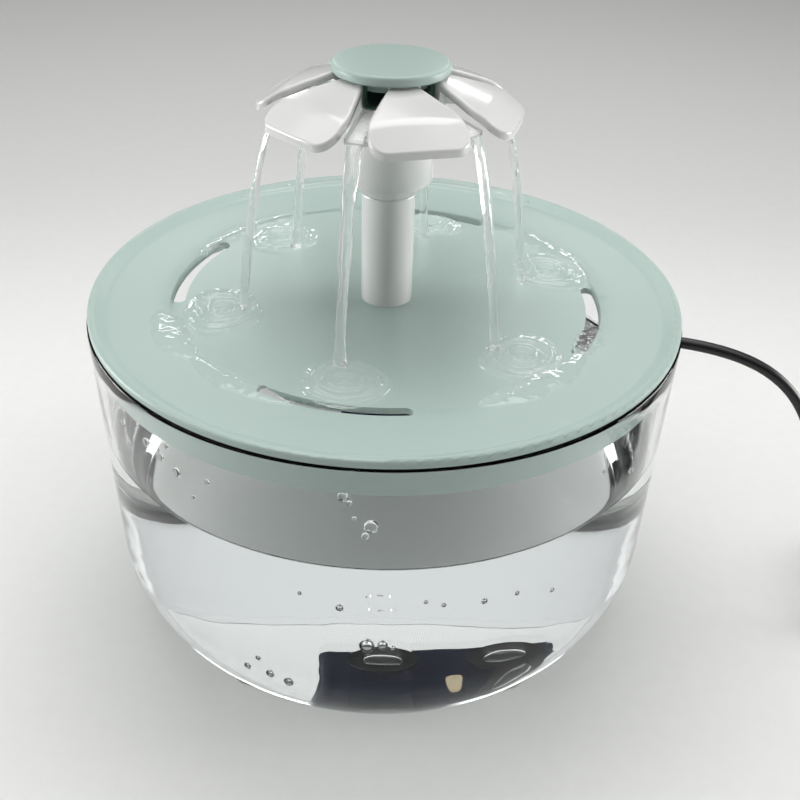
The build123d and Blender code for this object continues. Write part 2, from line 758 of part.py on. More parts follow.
def make_driver_board():
    low = pump_hang_height + base_plate_thickness + 0.1
    return block((board_x, -board_width / 2, low), (board_x + board_thickness, board_width / 2, pump_top - pump_wall - 0.1))


def make_led():
    lens = led_rod(led_radius, led_reach - led_length + 0.1, led_reach + led_proud)
    return fillet(lens.edges().filter_by(GeomType.CIRCLE).sort_by(Axis.Z)[0], led_proud)


def make_nozzle():
    top = flange_top + nozzle_spigot_length
    groove = flange_top + ring_rise
    nozzle = spun(
        (nozzle_bore, boss_top - nozzle_root_length + 0.1), (nozzle_root_radius, boss_top - nozzle_root_length + 0.1),
        (nozzle_root_radius, boss_top), (nozzle_flange_radius, boss_top), (nozzle_flange_radius, flange_top),
        (nozzle_spigot_radius, flange_top), (nozzle_spigot_radius, groove - ring_section),
        (nozzle_spigot_radius - ring_section, groove - ring_section),
        (nozzle_spigot_radius - ring_section, groove + ring_section),
        (nozzle_spigot_radius, groove + ring_section), (nozzle_spigot_radius, top), (nozzle_bore, top))
    return chamfer(rings_at(nozzle, nozzle_spigot_radius, top), 0.6)


def make_o_ring():
    """Square-section seal that fills its groove and just clears the sleeve's bore."""
    groove = flange_top + ring_rise
    half = ring_section - 0.05
    ring = tube(tray_hole_radius - 0.02, nozzle_spigot_radius - ring_section + 0.03, groove - half, groove + half)
    return fillet(ring.edges().filter_by(GeomType.CIRCLE).sort_by(SortBy.RADIUS)[-2:], 0.3)


def make_cups():
    skirt = spun(
        (0, 1.6), (cup_radius - 1.6, 0.3), (cup_radius, 0), (cup_radius, 0.6), (3.0, 2.6), (3.0, cup_height),
        (cup_neck_radius, cup_height), (cup_neck_radius, cup_height + cup_neck_length), (0, cup_height + cup_neck_length))
    return Compound([Pos(x, 0, pump_hang_height - cup_height) * skirt for x in (cup_front_x, cup_rear_x)])


# ------------------------------------------------------------------ lead, cord, coil and plug
def lead_points():
    """From the gland on the pump up to the notch in the bowl's lip."""
    way_out = cord_points()
    back = (way_out[0] - way_out[1]).normalized()
    return [
        Vector(lead_boss_x, 0, gland_bottom + 1.5),
        Vector(lead_boss_x, 0, gland_top + 3.6),
        Vector(lead_boss_x + 4, -2.2, gland_top + 13.1),
        Vector(lead_boss_x + 13, -7.2, cord_exit_height - 9.8),
        around(bowl_lip_radius - 33, cord_azimuth + 1, cord_exit_height - 6.2),
        around(bowl_lip_radius - 22, cord_azimuth + 0.3, cord_exit_height - 4.2),
        around(bowl_lip_radius - 13, cord_azimuth, cord_exit_height - 2),
        way_out[0] + back * 5.5,
        way_out[0],
    ]


# Each point is its distance out from the bowl, its offset to the left of the way out, and its height.
cord_route = [
    (1.0, 0.0, cord_exit_height), (15.0, 0.0, cord_exit_height - 0.2), (33.0, 0.6, cord_exit_height - 8.3),
    (45.0, 1.6, 79.0), (51.0, 2.8, 53.0),
    (54.0, 3.6, 29.0), (63.0, 4.6, 10.0), (80.0, 6.0, cord_radius + 0.1), (97.0, 6.4, cord_radius + 0.1),
]


def cord_points():
    out = around(1, cord_azimuth)
    left = Vector(-out.Y, out.X, 0)
    return [out * (bowl_lip_radius + reach) + left * side + Vector(0, 0, height)
            for reach, side, height in cord_route]


def coil_frame():
    """The coil's centre, the direction in which the cord reaches it and the direction to its left."""
    points = cord_points()
    ahead = points[-1] - points[-2]
    ahead = Vector(ahead.X, ahead.Y, 0).normalized()
    left = Vector(-ahead.Y, ahead.X, 0)
    end = points[-1]
    centre = Vector(end.X, end.Y, 0) + left * coil_outer_turn
    return centre, ahead, left


def make_coil():
    centre = coil_frame()[0]
    ring = tube(coil_outer, coil_inner, coil_rest_height, coil_rest_height + coil_height)
    ring = fillet(ring.edges().filter_by(GeomType.CIRCLE), coil_round)
    coil = Pos(*centre) * ring
    for points in (cord_points(), tail_points()):
        coil -= round_bar(cord_path(points), cord_radius + running_clearance)
    return coil


def make_tie():
    """A flat band round the coil, on its far side."""
    centre, ahead, left = coil_frame()
    width = coil_outer - coil_inner + 2 * running_clearance
    height = coil_height + 2 * running_clearance
    hollow = Rectangle(width, height)
    band = Rectangle(width + 2 * tie_thickness, height + 2 * tie_thickness) - hollow
    section = Plane.XZ * Pos(coil_mean_radius, coil_rest_height + coil_height / 2) * band
    sweep_angle = math.degrees(tie_width / coil_mean_radius)
    start = math.degrees(math.atan2(left.Y, left.X)) - sweep_angle / 2
    return Pos(*centre) * revolve(Rotation(0, 0, start) * section, Axis.Z, sweep_angle)


def tail_points():
    """From the coil's outermost turn, on its top layer, down to the plug's boot."""
    centre, ahead, left = coil_frame()
    start = centre + ahead * coil_outer_turn
    top = coil_rest_height + coil_height - cord_radius
    low = plug_rest_height + plug_thickness / 2
    return [start + left * along + Vector(0, 0, height)
            for along, height in ((0, top), (8, top), (18, low), (plug_lead_reach, low))]


def plug_plane():
    """Where the plug's boot begins: X across the plug, Z along it."""
    points = tail_points()
    along = (points[-1] - points[-2]).normalized()
    return Plane(points[-1] - along * boot_grip, x_dir=along.cross(Vector(0, 0, 1)), z_dir=along)


def make_plug_lead():
    return cord_along("plug_lead", tail_points())


def make_boot():
    tip = Circle(boot_tip_radius)
    root = Pos(0, 0, boot_length) * Circle(boot_root_radius)
    boot = loft([tip, root])
    for index in range(3):
        groove = Pos(0, 0, 3.0 + index * 2.4) * (Cylinder(4.5, 0.8) - Cylinder(2.35 + index * 0.22, 0.8))
        boot -= groove
    return plug_plane() * (boot - Cylinder(cord_radius + running_clearance, 2 * (boot_grip + 0.1)))


def make_plug_body():
    profile = RectangleRounded(plug_width, plug_thickness, plug_round)
    body = Pos(0, 0, boot_length) * extrude(profile, plug_length)
    ends = body.faces().sort_by(Axis.Z)
    body = fillet(ends[0].edges() + ends[-1].edges(), 1.0)
    for side in (-1, 1):
        for index in range(grip_count):
            body -= Pos(side * (plug_width / 2), 0, boot_length + 7 + index * 2.4) * Box(1.0, plug_thickness - 4, 1.0)
    socket = Pos(0, 0, boot_length + plug_length - 3) * extrude(
        Rectangle(shell_width + 0.1, shell_thickness + 0.1), 4)
    return plug_plane() * (body - socket)


def make_plug_shell():
    start = boot_length + plug_length - 2.9
    shell = Pos(0, 0, start) * extrude(
        Rectangle(shell_width, shell_thickness)
        - Rectangle(shell_width - 2 * shell_wall, shell_thickness - 2 * shell_wall), shell_length + 2.9)
    for side in (-1, 1):
        shell -= Pos(side * shell_width / 4, 0, start + 2.9 + shell_length * 0.55) * Box(
            shell_window, 2 * shell_thickness, shell_window)
    return plug_plane() * shell


def make_plug_insert():
    start = boot_length + plug_length - 2.8
    width = shell_width - 2 * shell_wall - 0.1
    low = -shell_thickness / 2 + shell_wall + 0.05
    tongue = block((-width / 2, low, start), (width / 2, low + insert_thickness, start + shell_length + 1.6))
    heel = block((-width / 2, low, start), (width / 2, -low, start + 2.4))
    return plug_plane() * (tongue + heel)


def make_gland():
    step = gland_bottom + gland_depth + 0.4
    gland = spun(
        (cord_radius + 0.05, gland_bottom + 0.1), (gland_radius, gland_bottom + 0.1), (gland_radius, step),
        (gland_tip_radius, gland_top), (cord_radius + 0.05, gland_top))
    return Pos(lead_boss_x, 0, 0) * gland


# ------------------------------------------------------------------ every node
def build_nodes():
    return {
        "bowl": make_bowl(),
        "bowl_feet": make_feet(),
        "tray": make_tray(),
        "riser_tube": make_riser(),
        "flower_head": make_flower_head(),
        "flower_core": make_flower_core(),
        "flower_cap": make_cap(),
        "pump_housing": make_pump_housing(),
        "pump_base": make_pump_base(),
        "pump_cover": make_pump_cover(),
        "intake_sponge": make_sponge(),
        "volute_plate": make_volute_plate(),
        "impeller": make_impeller(),
        "rotor_magnet": make_magnet(),
        "rotor_shaft": make_shaft(),
        "front_bush": make_front_bush(),
        "rear_bush": make_rear_bush(),
        "stator_core": make_stator_core(),
        "stator_windings": make_windings(),
        "driver_board": make_driver_board(),
        "led_lens": make_led(),
        "outlet_nozzle": make_nozzle(),
        "outlet_seal": make_o_ring(),
        "suction_cups": make_cups(),
        "lead_gland": make_gland(),
        "pump_lead": cord_along("pump_lead", lead_points()),
        "power_cord": cord_along("power_cord", cord_points()),
        "cord_coil": make_coil(),
        "cord_tie": make_tie(),
        "plug_lead": make_plug_lead(),
        "plug_boot": make_boot(),
        "plug_body": make_plug_body(),
        "plug_shell": make_plug_shell(),
        "plug_insert": make_plug_insert(),
    }


os.makedirs("parts", exist_ok=True)
for node, shape in build_nodes().items():
    export_step(shape, "parts/" + node + ".step")
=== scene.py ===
import json
import math

import bmesh
import bpy
from mathutils import Euler, Matrix, Vector, noise

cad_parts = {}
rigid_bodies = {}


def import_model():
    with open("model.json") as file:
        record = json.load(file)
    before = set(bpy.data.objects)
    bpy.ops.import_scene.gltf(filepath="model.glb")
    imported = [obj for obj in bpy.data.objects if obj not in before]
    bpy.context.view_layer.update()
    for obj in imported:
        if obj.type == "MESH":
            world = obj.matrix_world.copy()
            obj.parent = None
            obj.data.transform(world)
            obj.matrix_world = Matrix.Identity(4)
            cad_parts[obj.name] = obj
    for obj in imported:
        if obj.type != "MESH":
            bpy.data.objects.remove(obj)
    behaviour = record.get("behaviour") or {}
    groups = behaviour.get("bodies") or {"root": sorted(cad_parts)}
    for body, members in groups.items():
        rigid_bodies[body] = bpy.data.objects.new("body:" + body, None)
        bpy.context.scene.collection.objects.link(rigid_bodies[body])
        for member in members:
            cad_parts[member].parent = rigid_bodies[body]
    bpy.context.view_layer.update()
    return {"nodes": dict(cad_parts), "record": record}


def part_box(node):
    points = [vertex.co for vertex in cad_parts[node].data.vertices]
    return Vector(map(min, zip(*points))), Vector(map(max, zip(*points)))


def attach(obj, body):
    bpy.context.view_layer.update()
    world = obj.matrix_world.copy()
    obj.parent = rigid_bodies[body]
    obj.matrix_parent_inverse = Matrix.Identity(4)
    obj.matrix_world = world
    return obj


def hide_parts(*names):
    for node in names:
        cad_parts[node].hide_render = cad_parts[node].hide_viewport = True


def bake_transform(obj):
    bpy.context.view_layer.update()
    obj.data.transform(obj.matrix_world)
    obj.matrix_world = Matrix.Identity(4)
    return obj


bl_info = {
    "name": "Pet water fountain",
    "version": (1, 0, 0),
    "blender": (4, 5, 0),
    "location": "View3D > Sidebar > Fountain",
    "description": "Dresses the pet water fountain's solids and sets up its studio",
    "category": "Object",
}

for leftover in list(bpy.data.objects):
    bpy.data.objects.remove(leftover)
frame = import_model()
nodes = frame["nodes"]

MM = 0.001
FULL_TURN = 2 * math.pi

# ------------------------------------------------------------------ places shared by several pieces (mm)
FOOT_STAND = 3.0
BOWL_LIP_RADIUS = 93.0
BOWL_SHOULDER_RADIUS = 92.2
BOWL_CURVE_RADIUS = 41.0
BOWL_BASE_RADIUS = 82.7
BOWL_WALL = 2.4
BOWL_FLOOR = 2.6
BOWL_LIP_HEIGHT = 107.2
FLOOR_HEIGHT = FOOT_STAND + BOWL_FLOOR
TRAY_DISC_HEIGHT = 105.9
RISER_RADIUS = 8.1
CORD_AZIMUTH = 75.0
CORD_EXIT_HEIGHT = 104.8
FLOWER_FIRST_PETAL = 14.0
FLOWER_PITCH = 60.0
SPOUT_FIRST_AZIMUTH = FLOWER_FIRST_PETAL + FLOWER_PITCH / 2
LEAD_GLAND = (31.0, 0.0, 67.9)


# ------------------------------------------------------------------ sizes and colours a user would change
class FountainSizes(bpy.types.PropertyGroup):
    water_level: bpy.props.FloatProperty(
        name="Water level", description="Height of the water in the bowl",
        default=72.0 * MM, min=20 * MM, max=98 * MM, subtype="DISTANCE", unit="LENGTH")
    cord_diameter: bpy.props.FloatProperty(
        name="Cord diameter", description="Diameter of the pump's lead",
        default=3.5 * MM, min=2 * MM, max=6 * MM, subtype="DISTANCE", unit="LENGTH")
    stream_width: bpy.props.FloatProperty(
        name="Stream width", description="Width of each falling stream at the spout",
        default=4.6 * MM, min=1 * MM, max=5 * MM, subtype="DISTANCE", unit="LENGTH")
    puddle_depth: bpy.props.FloatProperty(
        name="Puddle depth", description="Depth of the water where each stream lands on the tray",
        default=1.6 * MM, min=0.3 * MM, max=3 * MM, subtype="DISTANCE", unit="LENGTH")
    camera_lens: bpy.props.FloatProperty(
        name="Lens", description="Focal length of the camera in millimetres",
        default=45.0, min=20.0, max=120.0)


class FountainColours(bpy.types.PropertyGroup):
    tray: bpy.props.StringProperty(
        name="Tray", description="Colour of the tray and the cap, as sRGB hex", default="A9BBB5")
    petals: bpy.props.StringProperty(
        name="Petals", description="Colour of the petals and the riser, as sRGB hex", default="D6D6D4")
    pump: bpy.props.StringProperty(
        name="Pump", description="Colour of the pump's housing, as sRGB hex", default="0E1B40")
    lamp: bpy.props.StringProperty(
        name="Pump light", description="Colour of the pump's light, as sRGB hex", default="FFB860")
    cord: bpy.props.StringProperty(
        name="Cord", description="Colour of the cord, as sRGB hex", default="101012")
    floor: bpy.props.StringProperty(
        name="Studio floor", description="Colour of the studio floor, as sRGB hex", default="E9E9E7")


def sizes():
    return bpy.context.scene.fountain_sizes


def colours():
    return bpy.context.scene.fountain_colours


# ------------------------------------------------------------------ materials
# The part of a noise texture's range that is used. What lies outside takes the nearer end.
NOISE_LOW = 0.2
NOISE_HIGH = 0.8
# How far apart the slow changes of colour and gloss in a moulding lie, in mm.
MOULD_FLOW = 45.0


def linear(hex_colour):
    """An sRGB hex value as linear RGBA."""
    channels = [int(hex_colour[i:i + 2], 16) / 255 for i in (0, 2, 4)]
    turned = [c / 12.92 if c <= 0.04045 else ((c + 0.055) / 1.055) ** 2.4 for c in channels]
    return (*turned, 1.0)


def add_node(tree, kind, settings=None, links=None):
    """Adds a node, sets its attributes or its sockets by name, and links its sockets from others' outputs."""
    node = tree.nodes.new(kind)
    for name, value in (settings or {}).items():
        if name in node.inputs.keys():
            node.inputs[name].default_value = value
        else:
            setattr(node, name, value)
    for name, output in (links or {}).items():
        tree.links.new(output, node.inputs[name])
    return node


def start_material(name, **settings):
    """A material with one Principled shader, and that shader."""
    material = bpy.data.materials.new(name)
    material.use_nodes = True
    tree = material.node_tree
    shader = tree.nodes["Principled BSDF"]
    for socket, value in settings.items():
        shader.inputs[socket.replace("_", " ")].default_value = value
    return material, tree, shader


def object_point(tree):
    """Object coordinates in millimetres, as an output."""
    place = add_node(tree, "ShaderNodeTexCoord")
    mapping = add_node(tree, "ShaderNodeMapping", {"Scale": (1.0 / MM,) * 3},
                       {"Vector": place.outputs["Object"]})
    return mapping.outputs["Vector"]


def grain(tree, size_mm, detail=2.0):
    """Noise whose features are about size_mm across, as an output."""
    texture = add_node(tree, "ShaderNodeTexNoise", {"Scale": 1.0 / size_mm, "Detail": detail, "Roughness": 0.5},
                       {"Vector": object_point(tree)})
    return texture.outputs["Fac"]


def spread(tree, fac, low, high):
    """A noise output mapped to a range."""
    node = add_node(tree, "ShaderNodeMapRange",
                    {"From Min": NOISE_LOW, "From Max": NOISE_HIGH, "To Min": low, "To Max": high},
                    {"Value": fac})
    node.interpolation_type = "SMOOTHSTEP"
    return node.outputs["Result"]


def shade(tree, fac, first, second):
    """Two colours mixed by an output."""
    ramp = add_node(tree, "ShaderNodeValToRGB", links={"Fac": fac})
    ramp.color_ramp.interpolation = "EASE"
    ramp.color_ramp.elements[0].position = NOISE_LOW
    ramp.color_ramp.elements[0].color = linear(first)
    ramp.color_ramp.elements[1].position = NOISE_HIGH
    ramp.color_ramp.elements[1].color = linear(second)
    return ramp.outputs["Color"]


def relief(tree, shader, height, depth_mm):
    """Bump of a depth in millimetres from an output."""
    bump = add_node(tree, "ShaderNodeBump", {"Strength": 1.0, "Distance": depth_mm * MM}, {"Height": height})
    tree.links.new(bump.outputs["Normal"], shader.inputs["Normal"])


def lighter(hex_colour, step):
    """The same colour, every channel moved by a step."""
    channels = [min(255, max(0, int(hex_colour[i:i + 2], 16) + step)) for i in (0, 2, 4)]
    return "".join(f"{channel:02X}" for channel in channels)


def moulded_plastic(name, colour, roughness, mottle=2, grain_mm=0.6, depth_mm=0.004, coat=0.0, ior=1.53,
                    **extra):
    """Injection-moulded plastic: faint mottle in colour and gloss, and a fine grain in its surface."""
    material, tree, shader = start_material(name, IOR=ior, Coat_Weight=coat, Coat_Roughness=0.06, **extra)
    flow = grain(tree, MOULD_FLOW, detail=0.0)
    tree.links.new(shade(tree, flow, lighter(colour, -mottle), lighter(colour, mottle)),
                   shader.inputs["Base Color"])
    tree.links.new(spread(tree, flow, roughness * 0.95, roughness * 1.05), shader.inputs["Roughness"])
    relief(tree, shader, grain(tree, grain_mm, detail=1.0), depth_mm)
    return material


def sage_abs():
    # ABS moulded against a polished tool: satin, with soft wide highlights.
    return moulded_plastic("satin_moulded_abs_sage", colours().tray, 0.33, mottle=1, grain_mm=2.5,
                           depth_mm=0.002, ior=1.42)


def white_abs():
    # ABS moulded against a mirror-finished tool: bright, with tight highlights.
    return moulded_plastic("polished_moulded_abs_white", colours().petals, 0.16, mottle=1, grain_mm=4.0,
                           depth_mm=0.006, coat=0.2)


def deep_green_abs():
    # The same ABS as the tray in a dark green, seen only inside the flower.
    return moulded_plastic("satin_moulded_abs_deep_green", "5A776C", 0.35)


def navy_abs():
    # ABS with a fine spark-eroded grain: dark, and nearly without gloss, because its index of refraction is
    # taken against the water round it.
    return moulded_plastic("grained_moulded_abs_navy", colours().pump, 0.38, mottle=3, grain_mm=0.35,
                           depth_mm=0.012, ior=1.15)


def black_pvc():
    # Extruded flexible PVC: black, with a soft sheen along the lead.
    return moulded_plastic("extruded_pvc_black", colours().cord, 0.42, mottle=2, grain_mm=0.5, depth_mm=0.006)


def black_plug_pvc():
    # PVC moulded over the plug: dull, with a finer grain than the lead.
    return moulded_plastic("overmoulded_pvc_black", "18181A", 0.5, grain_mm=0.25, depth_mm=0.01)


def natural_silicone():
    # Moulded silicone rubber: milky, soft and slightly see-through at its edges.
    return moulded_plastic("moulded_silicone_natural", "C9CBC6", 0.45, Transmission_Weight=0.25)


def black_rubber():
    # Moulded nitrile rubber: black and dull.
    return moulded_plastic("moulded_nitrile_black", "151617", 0.6, grain_mm=0.3, depth_mm=0.01)


def white_pom():
    # Machine-moulded acetal: off-white and waxy.
    return moulded_plastic("moulded_acetal_white", "E4E6E6", 0.35)


def fibreglass_green():
    # Solder mask on a glass-epoxy board: green, with the weave just showing.
    return moulded_plastic("solder_mask_green", "1C5A34", 0.3, mottle=6, grain_mm=0.4)


def filter_foam():
    # Open-cell polyurethane foam: charcoal, with pores about half a millimetre wide.
    material, tree, shader = start_material("open_cell_foam_charcoal", Roughness=0.95)
    cells = add_node(tree, "ShaderNodeTexVoronoi", {"Scale": 1.6}, {"Vector": object_point(tree)})
    # The colour follows the pores' depth: each pore is painted darker towards its middle, where the bump sinks
    # it, as painted shade in the hollow.
    tree.links.new(shade(tree, cells.outputs["Distance"], "1B1C1E", "5A5D60"), shader.inputs["Base Color"])
    relief(tree, shader, cells.outputs["Distance"], 0.4)
    return material


def metal(name, colour, roughness, grain_mm):
    """Bare metal with a fine grain in its gloss."""
    material, tree, shader = start_material(name, Metallic=1.0)
    fine = grain(tree, grain_mm, detail=4.0)
    tree.links.new(shade(tree, fine, lighter(colour, -6), lighter(colour, 6)), shader.inputs["Base Color"])
    tree.links.new(spread(tree, fine, roughness * 0.8, roughness * 1.2), shader.inputs["Roughness"])
    return material


def ground_steel():
    # Ground stainless steel: the rotor's shaft.
    return metal("ground_stainless_steel", "C6C8CA", 0.18, 0.2)


def nickel_plate():
    # Pressed and nickel-plated steel: the plug's shell.
    return metal("nickel_plated_steel", "CFCBC2", 0.16, 1.5)


def stamped_steel():
    # Stamped electrical steel with dark cut edges.
    return metal("stamped_electrical_steel", "7B7E82", 0.4, 0.4)


def sintered_ferrite():
    # Sintered ferrite: charcoal grey, like slate.
    return moulded_plastic("sintered_ferrite", "2B2C2E", 0.5, mottle=4, grain_mm=0.2, depth_mm=0.008)


def enamelled_copper():
    # Copper wire with a clear enamel: rows 0.5 mm apart across each winding.
    material, tree, shader = start_material("enamelled_copper_wire", Metallic=1.0, Roughness=0.25)
    rows = add_node(tree, "ShaderNodeTexWave", {"Scale": 0.6, "Distortion": 0.3, "bands_direction": "X"},
                    {"Vector": object_point(tree)})
    # The colour follows the rows' height: painted shade darkens the grooves between the turns, and a painted
    # highlight lightens their crowns.
    tree.links.new(shade(tree, rows.outputs["Fac"], "7A3414", "C96F3A"), shader.inputs["Base Color"])
    relief(tree, shader, rows.outputs["Fac"], 0.15)
    return material


def clear_pet():
    # Clear PET, moulded thick: almost colourless, with slow waves of flow that bend what is behind. Its
    # reflections are held down, because the wall and the water behind it would else both give the full one.
    material, tree, shader = start_material(
        "moulded_pet_clear", Base_Color=linear("FDFEFE"), Specular_Tint=(0.12, 0.12, 0.12, 1.0),
        Roughness=0.0, IOR=1.5, Transmission_Weight=1.0)
    relief(tree, shader, grain(tree, 22.0, detail=1.0), 0.05)
    return material


def still_water():
    # Clean water: clear, with slow ripples on its surface, and its reflections held down as the bowl's are.
    material, tree, shader = start_material(
        "water_still", Base_Color=linear("FDFEFE"), Specular_Tint=(0.2, 0.2, 0.2, 1.0),
        Roughness=0.0, IOR=1.333, Transmission_Weight=1.0)
    relief(tree, shader, grain(tree, 14.0, detail=1.0), 0.08)
    return material


def running_water():
    # Moving water: clear but for a trace of fine air, with short ripples a few millimetres long.
    material, tree, shader = start_material(
        "water_running", Base_Color=linear("FDFEFE"), Roughness=0.0, IOR=1.333, Transmission_Weight=0.85)
    relief(tree, shader, grain(tree, 4.0, detail=1.5), 0.45)
    return material


def spread_water():
    # Water that lies on the tray: nearly clear, its skin always shaken by the streams that fall on it.
    material, tree, shader = start_material(
        "water_spread", Base_Color=linear("FDFEFE"), Roughness=0.0, IOR=1.333, Transmission_Weight=0.93)
    relief(tree, shader, grain(tree, 5.0, detail=1.5), 0.7)
    return material


def trapped_air():
    # Air under water: a bright bubble with a dark rim, because light bends the other way in it.
    material, tree, shader = start_material(
        "air_bubble", Base_Color=linear("FFFFFF"), Roughness=0.0, IOR=0.75, Transmission_Weight=1.0)
    relief(tree, shader, grain(tree, 2.0), 0.02)
    return material


def lit_lens():
    # A clear epoxy lens over a warm diode whose narrow beam is aimed down and to the front.
    material, tree, shader = start_material(
        "clear_epoxy_lens_lit", Base_Color=linear("3A2C1A"), Roughness=0.15, IOR=1.5, Emission_Strength=8.0)
    toward_viewer = add_node(tree, "ShaderNodeNewGeometry").outputs["Incoming"]
    rise = add_node(tree, "ShaderNodeSeparateXYZ", links={"Vector": toward_viewer}).outputs["Z"]
    fall = add_node(tree, "ShaderNodeMapRange", {"From Min": 0.0, "From Max": -1.0}, {"Value": rise})
    beam = add_node(tree, "ShaderNodeValToRGB", links={"Fac": fall.outputs["Result"]})
    stops = beam.color_ramp.elements
    stops[0].position, stops[0].color = 0.15, linear("000000")
    stops[1].position, stops[1].color = 0.78, linear("000000")
    for position, colour in ((0.4, colours().lamp), (0.56, "FFF0C8"), (0.68, colours().lamp)):
        stops.new(position).color = linear(colour)
    tree.links.new(beam.outputs["Color"], shader.inputs["Emission Color"])
    relief(tree, shader, grain(tree, 1.0), 0.02)
    return material


def studio_paper():
    # Seamless matt paper, with a fibre too fine to see that only breaks up the gloss.
    material, tree, shader = start_material("seamless_paper_pale", Roughness=0.9)
    fibre = grain(tree, 6.0)
    tree.links.new(shade(tree, fibre, lighter(colours().floor, -1), lighter(colours().floor, 1)),
                   shader.inputs["Base Color"])
    return material


FINISHES = {
    "sage": sage_abs, "white": white_abs, "deep_green": deep_green_abs, "navy": navy_abs, "cord": black_pvc,
    "plug": black_plug_pvc, "silicone": natural_silicone, "rubber": black_rubber, "acetal": white_pom,
    "board": fibreglass_green, "foam": filter_foam, "shaft": ground_steel, "shell": nickel_plate,
    "stator": stamped_steel, "ferrite": sintered_ferrite, "copper": enamelled_copper, "clear": clear_pet,
    "still_water": still_water, "running_water": running_water, "spread_water": spread_water,
    "air": trapped_air, "lamp": lit_lens, "paper": studio_paper,
}
made_finishes = {}


def finish(name):
    """The material of that name, made once."""
    if name not in made_finishes:
        made_finishes[name] = FINISHES[name]()
    return made_finishes[name]


# ------------------------------------------------------------------ mesh helpers
def around(radius, azimuth, height):
    """A point in metres at a radius, an azimuth from the front and a height in millimetres."""
    angle = math.radians(azimuth)
    return Vector((radius * math.sin(angle), -radius * math.cos(angle), height)) * MM


def dress(piece, finish_name, smooth_angle=35.0):
    """Gives a piece its material and smooth shading with crisp edges."""
    piece.data.materials.clear()
    piece.data.materials.append(finish(finish_name))
    if piece.type == "MESH":
        piece.data.polygons.foreach_set("use_smooth", [True] * len(piece.data.polygons))
        piece.data.set_sharp_from_angle(angle=math.radians(smooth_angle))
        piece.data.update()


def add_piece(name, mesh_maker, finish_name, body, replaced=(), smooth_angle=35.0):
    """Turns a bmesh into an object that rides on a body."""
    mesh = bpy.data.meshes.new(name)
    mesh_maker.to_mesh(mesh)
    mesh_maker.free()
    piece = bpy.data.objects.new(name, mesh)
    bpy.context.scene.collection.objects.link(piece)
    dress(piece, finish_name, smooth_angle)
    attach(piece, body)
    if replaced:
        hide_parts(*replaced)
    return piece


def body_of_node(node):
    for body, members in frame["record"]["behaviour"]["bodies"].items():
        if node in members:
            return body
    raise RuntimeError("no body holds " + node)


def even_shading(piece):
    """Lets the large faces set the shading, so flats stay flat beside small rounded edges."""
    weighted = piece.modifiers.new("even_shading", "WEIGHTED_NORMAL")
    weighted.keep_sharp = True
    weighted.weight = 80


def lets_light_through(piece):
    """Keeps a clear piece from shading what is inside and under it, or lighting it twice."""
    piece.visible_shadow = False
    piece.visible_diffuse = False


def smooth_copy(node, finish_name, smooth_angle=35.0):
    """A merged, smoothly shaded copy of a CAD node that stands for it."""
    shape = bmesh.new()
    shape.from_mesh(nodes[node].data)
    bmesh.ops.remove_doubles(shape, verts=shape.verts, dist=0.002 * MM)
    return add_piece(node + "_finished", shape, finish_name, body_of_node(node), (node,),
                     smooth_angle)


def arc(centre, radius, start, end, steps):
    """Points in millimetres on an arc, angles in degrees from the radial direction."""
    angles = [math.radians(start + (end - start) * i / steps) for i in range(steps + 1)]
    return [(centre[0] + radius * math.cos(a), centre[1] + radius * math.sin(a)) for a in angles]


def spun(profile, steps=192, closed=True):
    """A bmesh turned about Z from (radius, height) points in millimetres."""
    shape = bmesh.new()
    corners = [shape.verts.new((radius * MM, 0, height * MM)) for radius, height in profile]
    ring = [shape.edges.new(pair) for pair in zip(corners, corners[1:])]
    if closed:
        ring.append(shape.edges.new((corners[-1], corners[0])))
    bmesh.ops.spin(shape, geom=corners + ring, cent=(0, 0, 0), axis=(0, 0, 1), angle=FULL_TURN, steps=steps,
                   use_merge=True)
    bmesh.ops.remove_doubles(shape, verts=shape.verts, dist=0.001 * MM)
    bmesh.ops.recalc_face_normals(shape, faces=shape.faces)
    return shape


# ------------------------------------------------------------------ cord
# The cord's way from the notch in the bowl's lip to the coil: distance out from the bowl, offset to the left
# of the way out, and height, in millimetres.
CORD_ROUTE = [
    (1.0, 0.0, CORD_EXIT_HEIGHT), (15.0, 0.0, 104.6), (33.0, 0.6, 96.5), (45.0, 1.6, 79.0), (51.0, 2.8, 53.0),
    (54.0, 3.6, 29.0), (63.0, 4.6, 10.0), (80.0, 6.0, 1.85), (97.0, 6.4, 1.85),
]
COIL_TURN_RADII = (25.25, 21.75, 18.25, 14.75)
COIL_LAYER_HEIGHTS = (2.45, 5.95)
COIL_POINTS_PER_TURN = 16
COIL_TURNS = 8.25
# From the coil to the plug: distance to the left of the cord's way there, and height, in millimetres.
TAIL_ROUTE = ((8, 5.95), (18, 4.1), (26, 4.1))


def cord_points():
    """The cord's control points in metres, as far as the coil."""
    out = around(1, CORD_AZIMUTH, 0) / MM
    left = Vector((-out.y, out.x, 0))
    return [(out * (BOWL_LIP_RADIUS + reach) + left * side + Vector((0, 0, height))) * MM
            for reach, side, height in CORD_ROUTE]


def coil_frame():
    """The coil's centre on the floor, the cord's direction there, and the direction to its left."""
    points = cord_points()
    ahead = points[-1] - points[-2]
    ahead.z = 0
    ahead.normalize()
    left = Vector((-ahead.y, ahead.x, 0))
    centre = points[-1] + left * COIL_TURN_RADII[0] * MM
    centre.z = 0
    return centre, ahead, left


